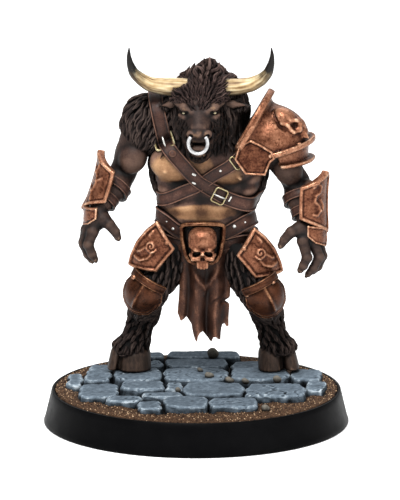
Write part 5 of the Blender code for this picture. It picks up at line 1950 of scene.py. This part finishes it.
def make_paving():
    """Stones, sand, pebbles and the base under them, all in millimetres from the base's underside."""
    reach = (top_radius() - LIP_WIDTH - FIT_GAP - 0.0016) * 1000
    parts, shades = [], []
    for k, (left, right, near, far, rise) in enumerate(STONES):
        *part, shade = paving_stone(left, right, near, far, rise, reach, k + 1)
        parts.append(part)
        shades += shade
    points, faces = gathered(parts)
    points += np.array((0, 0, (BASE_HEIGHT + STONE_RISE) * 1000))
    solid("paving_stones", points / 1000, faces, "stone", "stone", 0.4, node="paving_insert", metres=True,
          shade=np.array(shades))
    points, faces, sandy = ground(STONES)
    marks = {"shade": np.array(sandy) * 0.6 - 0.3, "sandy": sandy}
    solid("ground", points, faces, "sand", "sand", 0.5, marks, node="paving_insert", metres=True)
    source = placed("sand guide", bpy.data.meshes["ground"].copy())
    grown("sand_grains", source, trees["grain"], {"Material": paints["sand"]}, "sand", "paving_insert")
    parts = []
    for k, (x, y, z, size) in enumerate(PEBBLES):
        clay = Clay((x - 1.9, y - 1.9, z - 1.7), (x + 1.9, y + 1.9, z + 1.7), 0.17)
        turn = (17 * k, 23 * k, 40 * k)
        clay.ball((x, y, z), (0.62 * size, 0.52 * size, 0.42 * size), turn, soft=0)
        clay.ball((x + 0.3 * size, y + 0.1, z - 0.1), (0.42 * size, 0.36 * size, 0.34 * size), turn, soft=0.1)
        clay.ball((x - 0.2 * size, y, z + 0.14 * size), (0.36 * size, 0.34 * size, 0.36 * size), soft=0.1)
        parts.append(clay.skin())
    points, faces = gathered(parts)
    solid("pebbles", points / 1000, faces, "rubble", "stone", 0.3, node="paving_insert", metres=True)
    points, faces = round_base()
    base = solid("base", points, faces, "base", "base_black", 0.5, node="round_base", metres=True)
    base.data.set_sharp_from_angle(angle=radians(40))


# Floor and view in metres, film in millimetres
FLOOR_HALF = 3
FILM = 36
VIEW_HEIGHT = 0.0817


def make_studio():
    """Pale floor, soft light all round and a long lens at the figure's height."""
    floor_mesh = bpy.data.meshes.new("floor")
    corners = [(x * FLOOR_HALF, y * FLOOR_HALF, 0) for x, y in ((-1, -1), (1, -1), (1, 1), (-1, 1))]
    floor_mesh.from_pydata(corners, [], [(0, 1, 2, 3)])
    floor = placed("floor", floor_mesh)
    pale = Paint("floor paint", 0.9)
    pale.shader.inputs["Emission Color"].default_value = (1, 1, 1, 1)
    pale.shader.inputs["Emission Strength"].default_value = 0.35
    floor_mesh.materials.append(pale.colour(pale.ramp(pale.grain(60.0), (
        (0, 250, 250, 250), (1, 253, 253, 253),
    )), painted_shade=False))
    scene = bpy.context.scene
    world = bpy.data.worlds.new("soft sky")
    scene.world = world
    world.use_nodes = True
    world.node_tree.nodes["Background"].inputs["Color"].default_value = (1, 1, 1, 1)
    world.node_tree.nodes["Background"].inputs["Strength"].default_value = 0.4
    scene.view_settings.view_transform = "Standard"
    aim = Vector((0.00062, 0, 0.0288))
    for name, place, size, power in (
        ("key", (-0.1, -0.36, 0.62), 0.25, 5.6), ("fill", (0.5, -0.4, 0.35), 0.4, 1.0),
        ("back", (0.1, 0.5, 0.6), 0.6, 2.5),
    ):
        light = bpy.data.lights.new(name, "AREA")
        light.size = size
        light.energy = power
        lamp = placed(name, light)
        lamp.location = place
        lamp.rotation_euler = (aim - Vector(place)).to_track_quat("-Z", "Y").to_euler()
    lens = bpy.data.cameras.new("camera")
    lens.sensor_fit = "VERTICAL"
    lens.sensor_height = FILM
    lens.clip_start = 0.01
    distance, elevation = 1.5, radians(13.1)
    lens.lens = FILM * distance / VIEW_HEIGHT
    camera = placed("camera", lens)
    camera.location = aim + Vector((0, -cos(elevation), sin(elevation))) * distance
    camera.rotation_euler = (aim - camera.location).to_track_quat("-Z", "Y").to_euler()
    scene.camera = camera


def hand_over():
    """Every piece rides on the one body and stands for its solid."""
    for piece, slot, node in pieces.values():
        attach(piece, "root")
        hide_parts(node)


skins = {}
paints = make_paints()
trees = {"lock": lock_tree(), "stud": stud_tree(), "grain": grain_tree()}
make_studio()
body_skin = make_body()
head_skin = make_head()
make_hair(body_skin, head_skin)
make_straps(dressed_skin(body_skin), body_skin[2])
make_armour()
solid("loincloth", *loincloth(), "cloth", "cloth", 1.1)
make_paving()
hand_over()
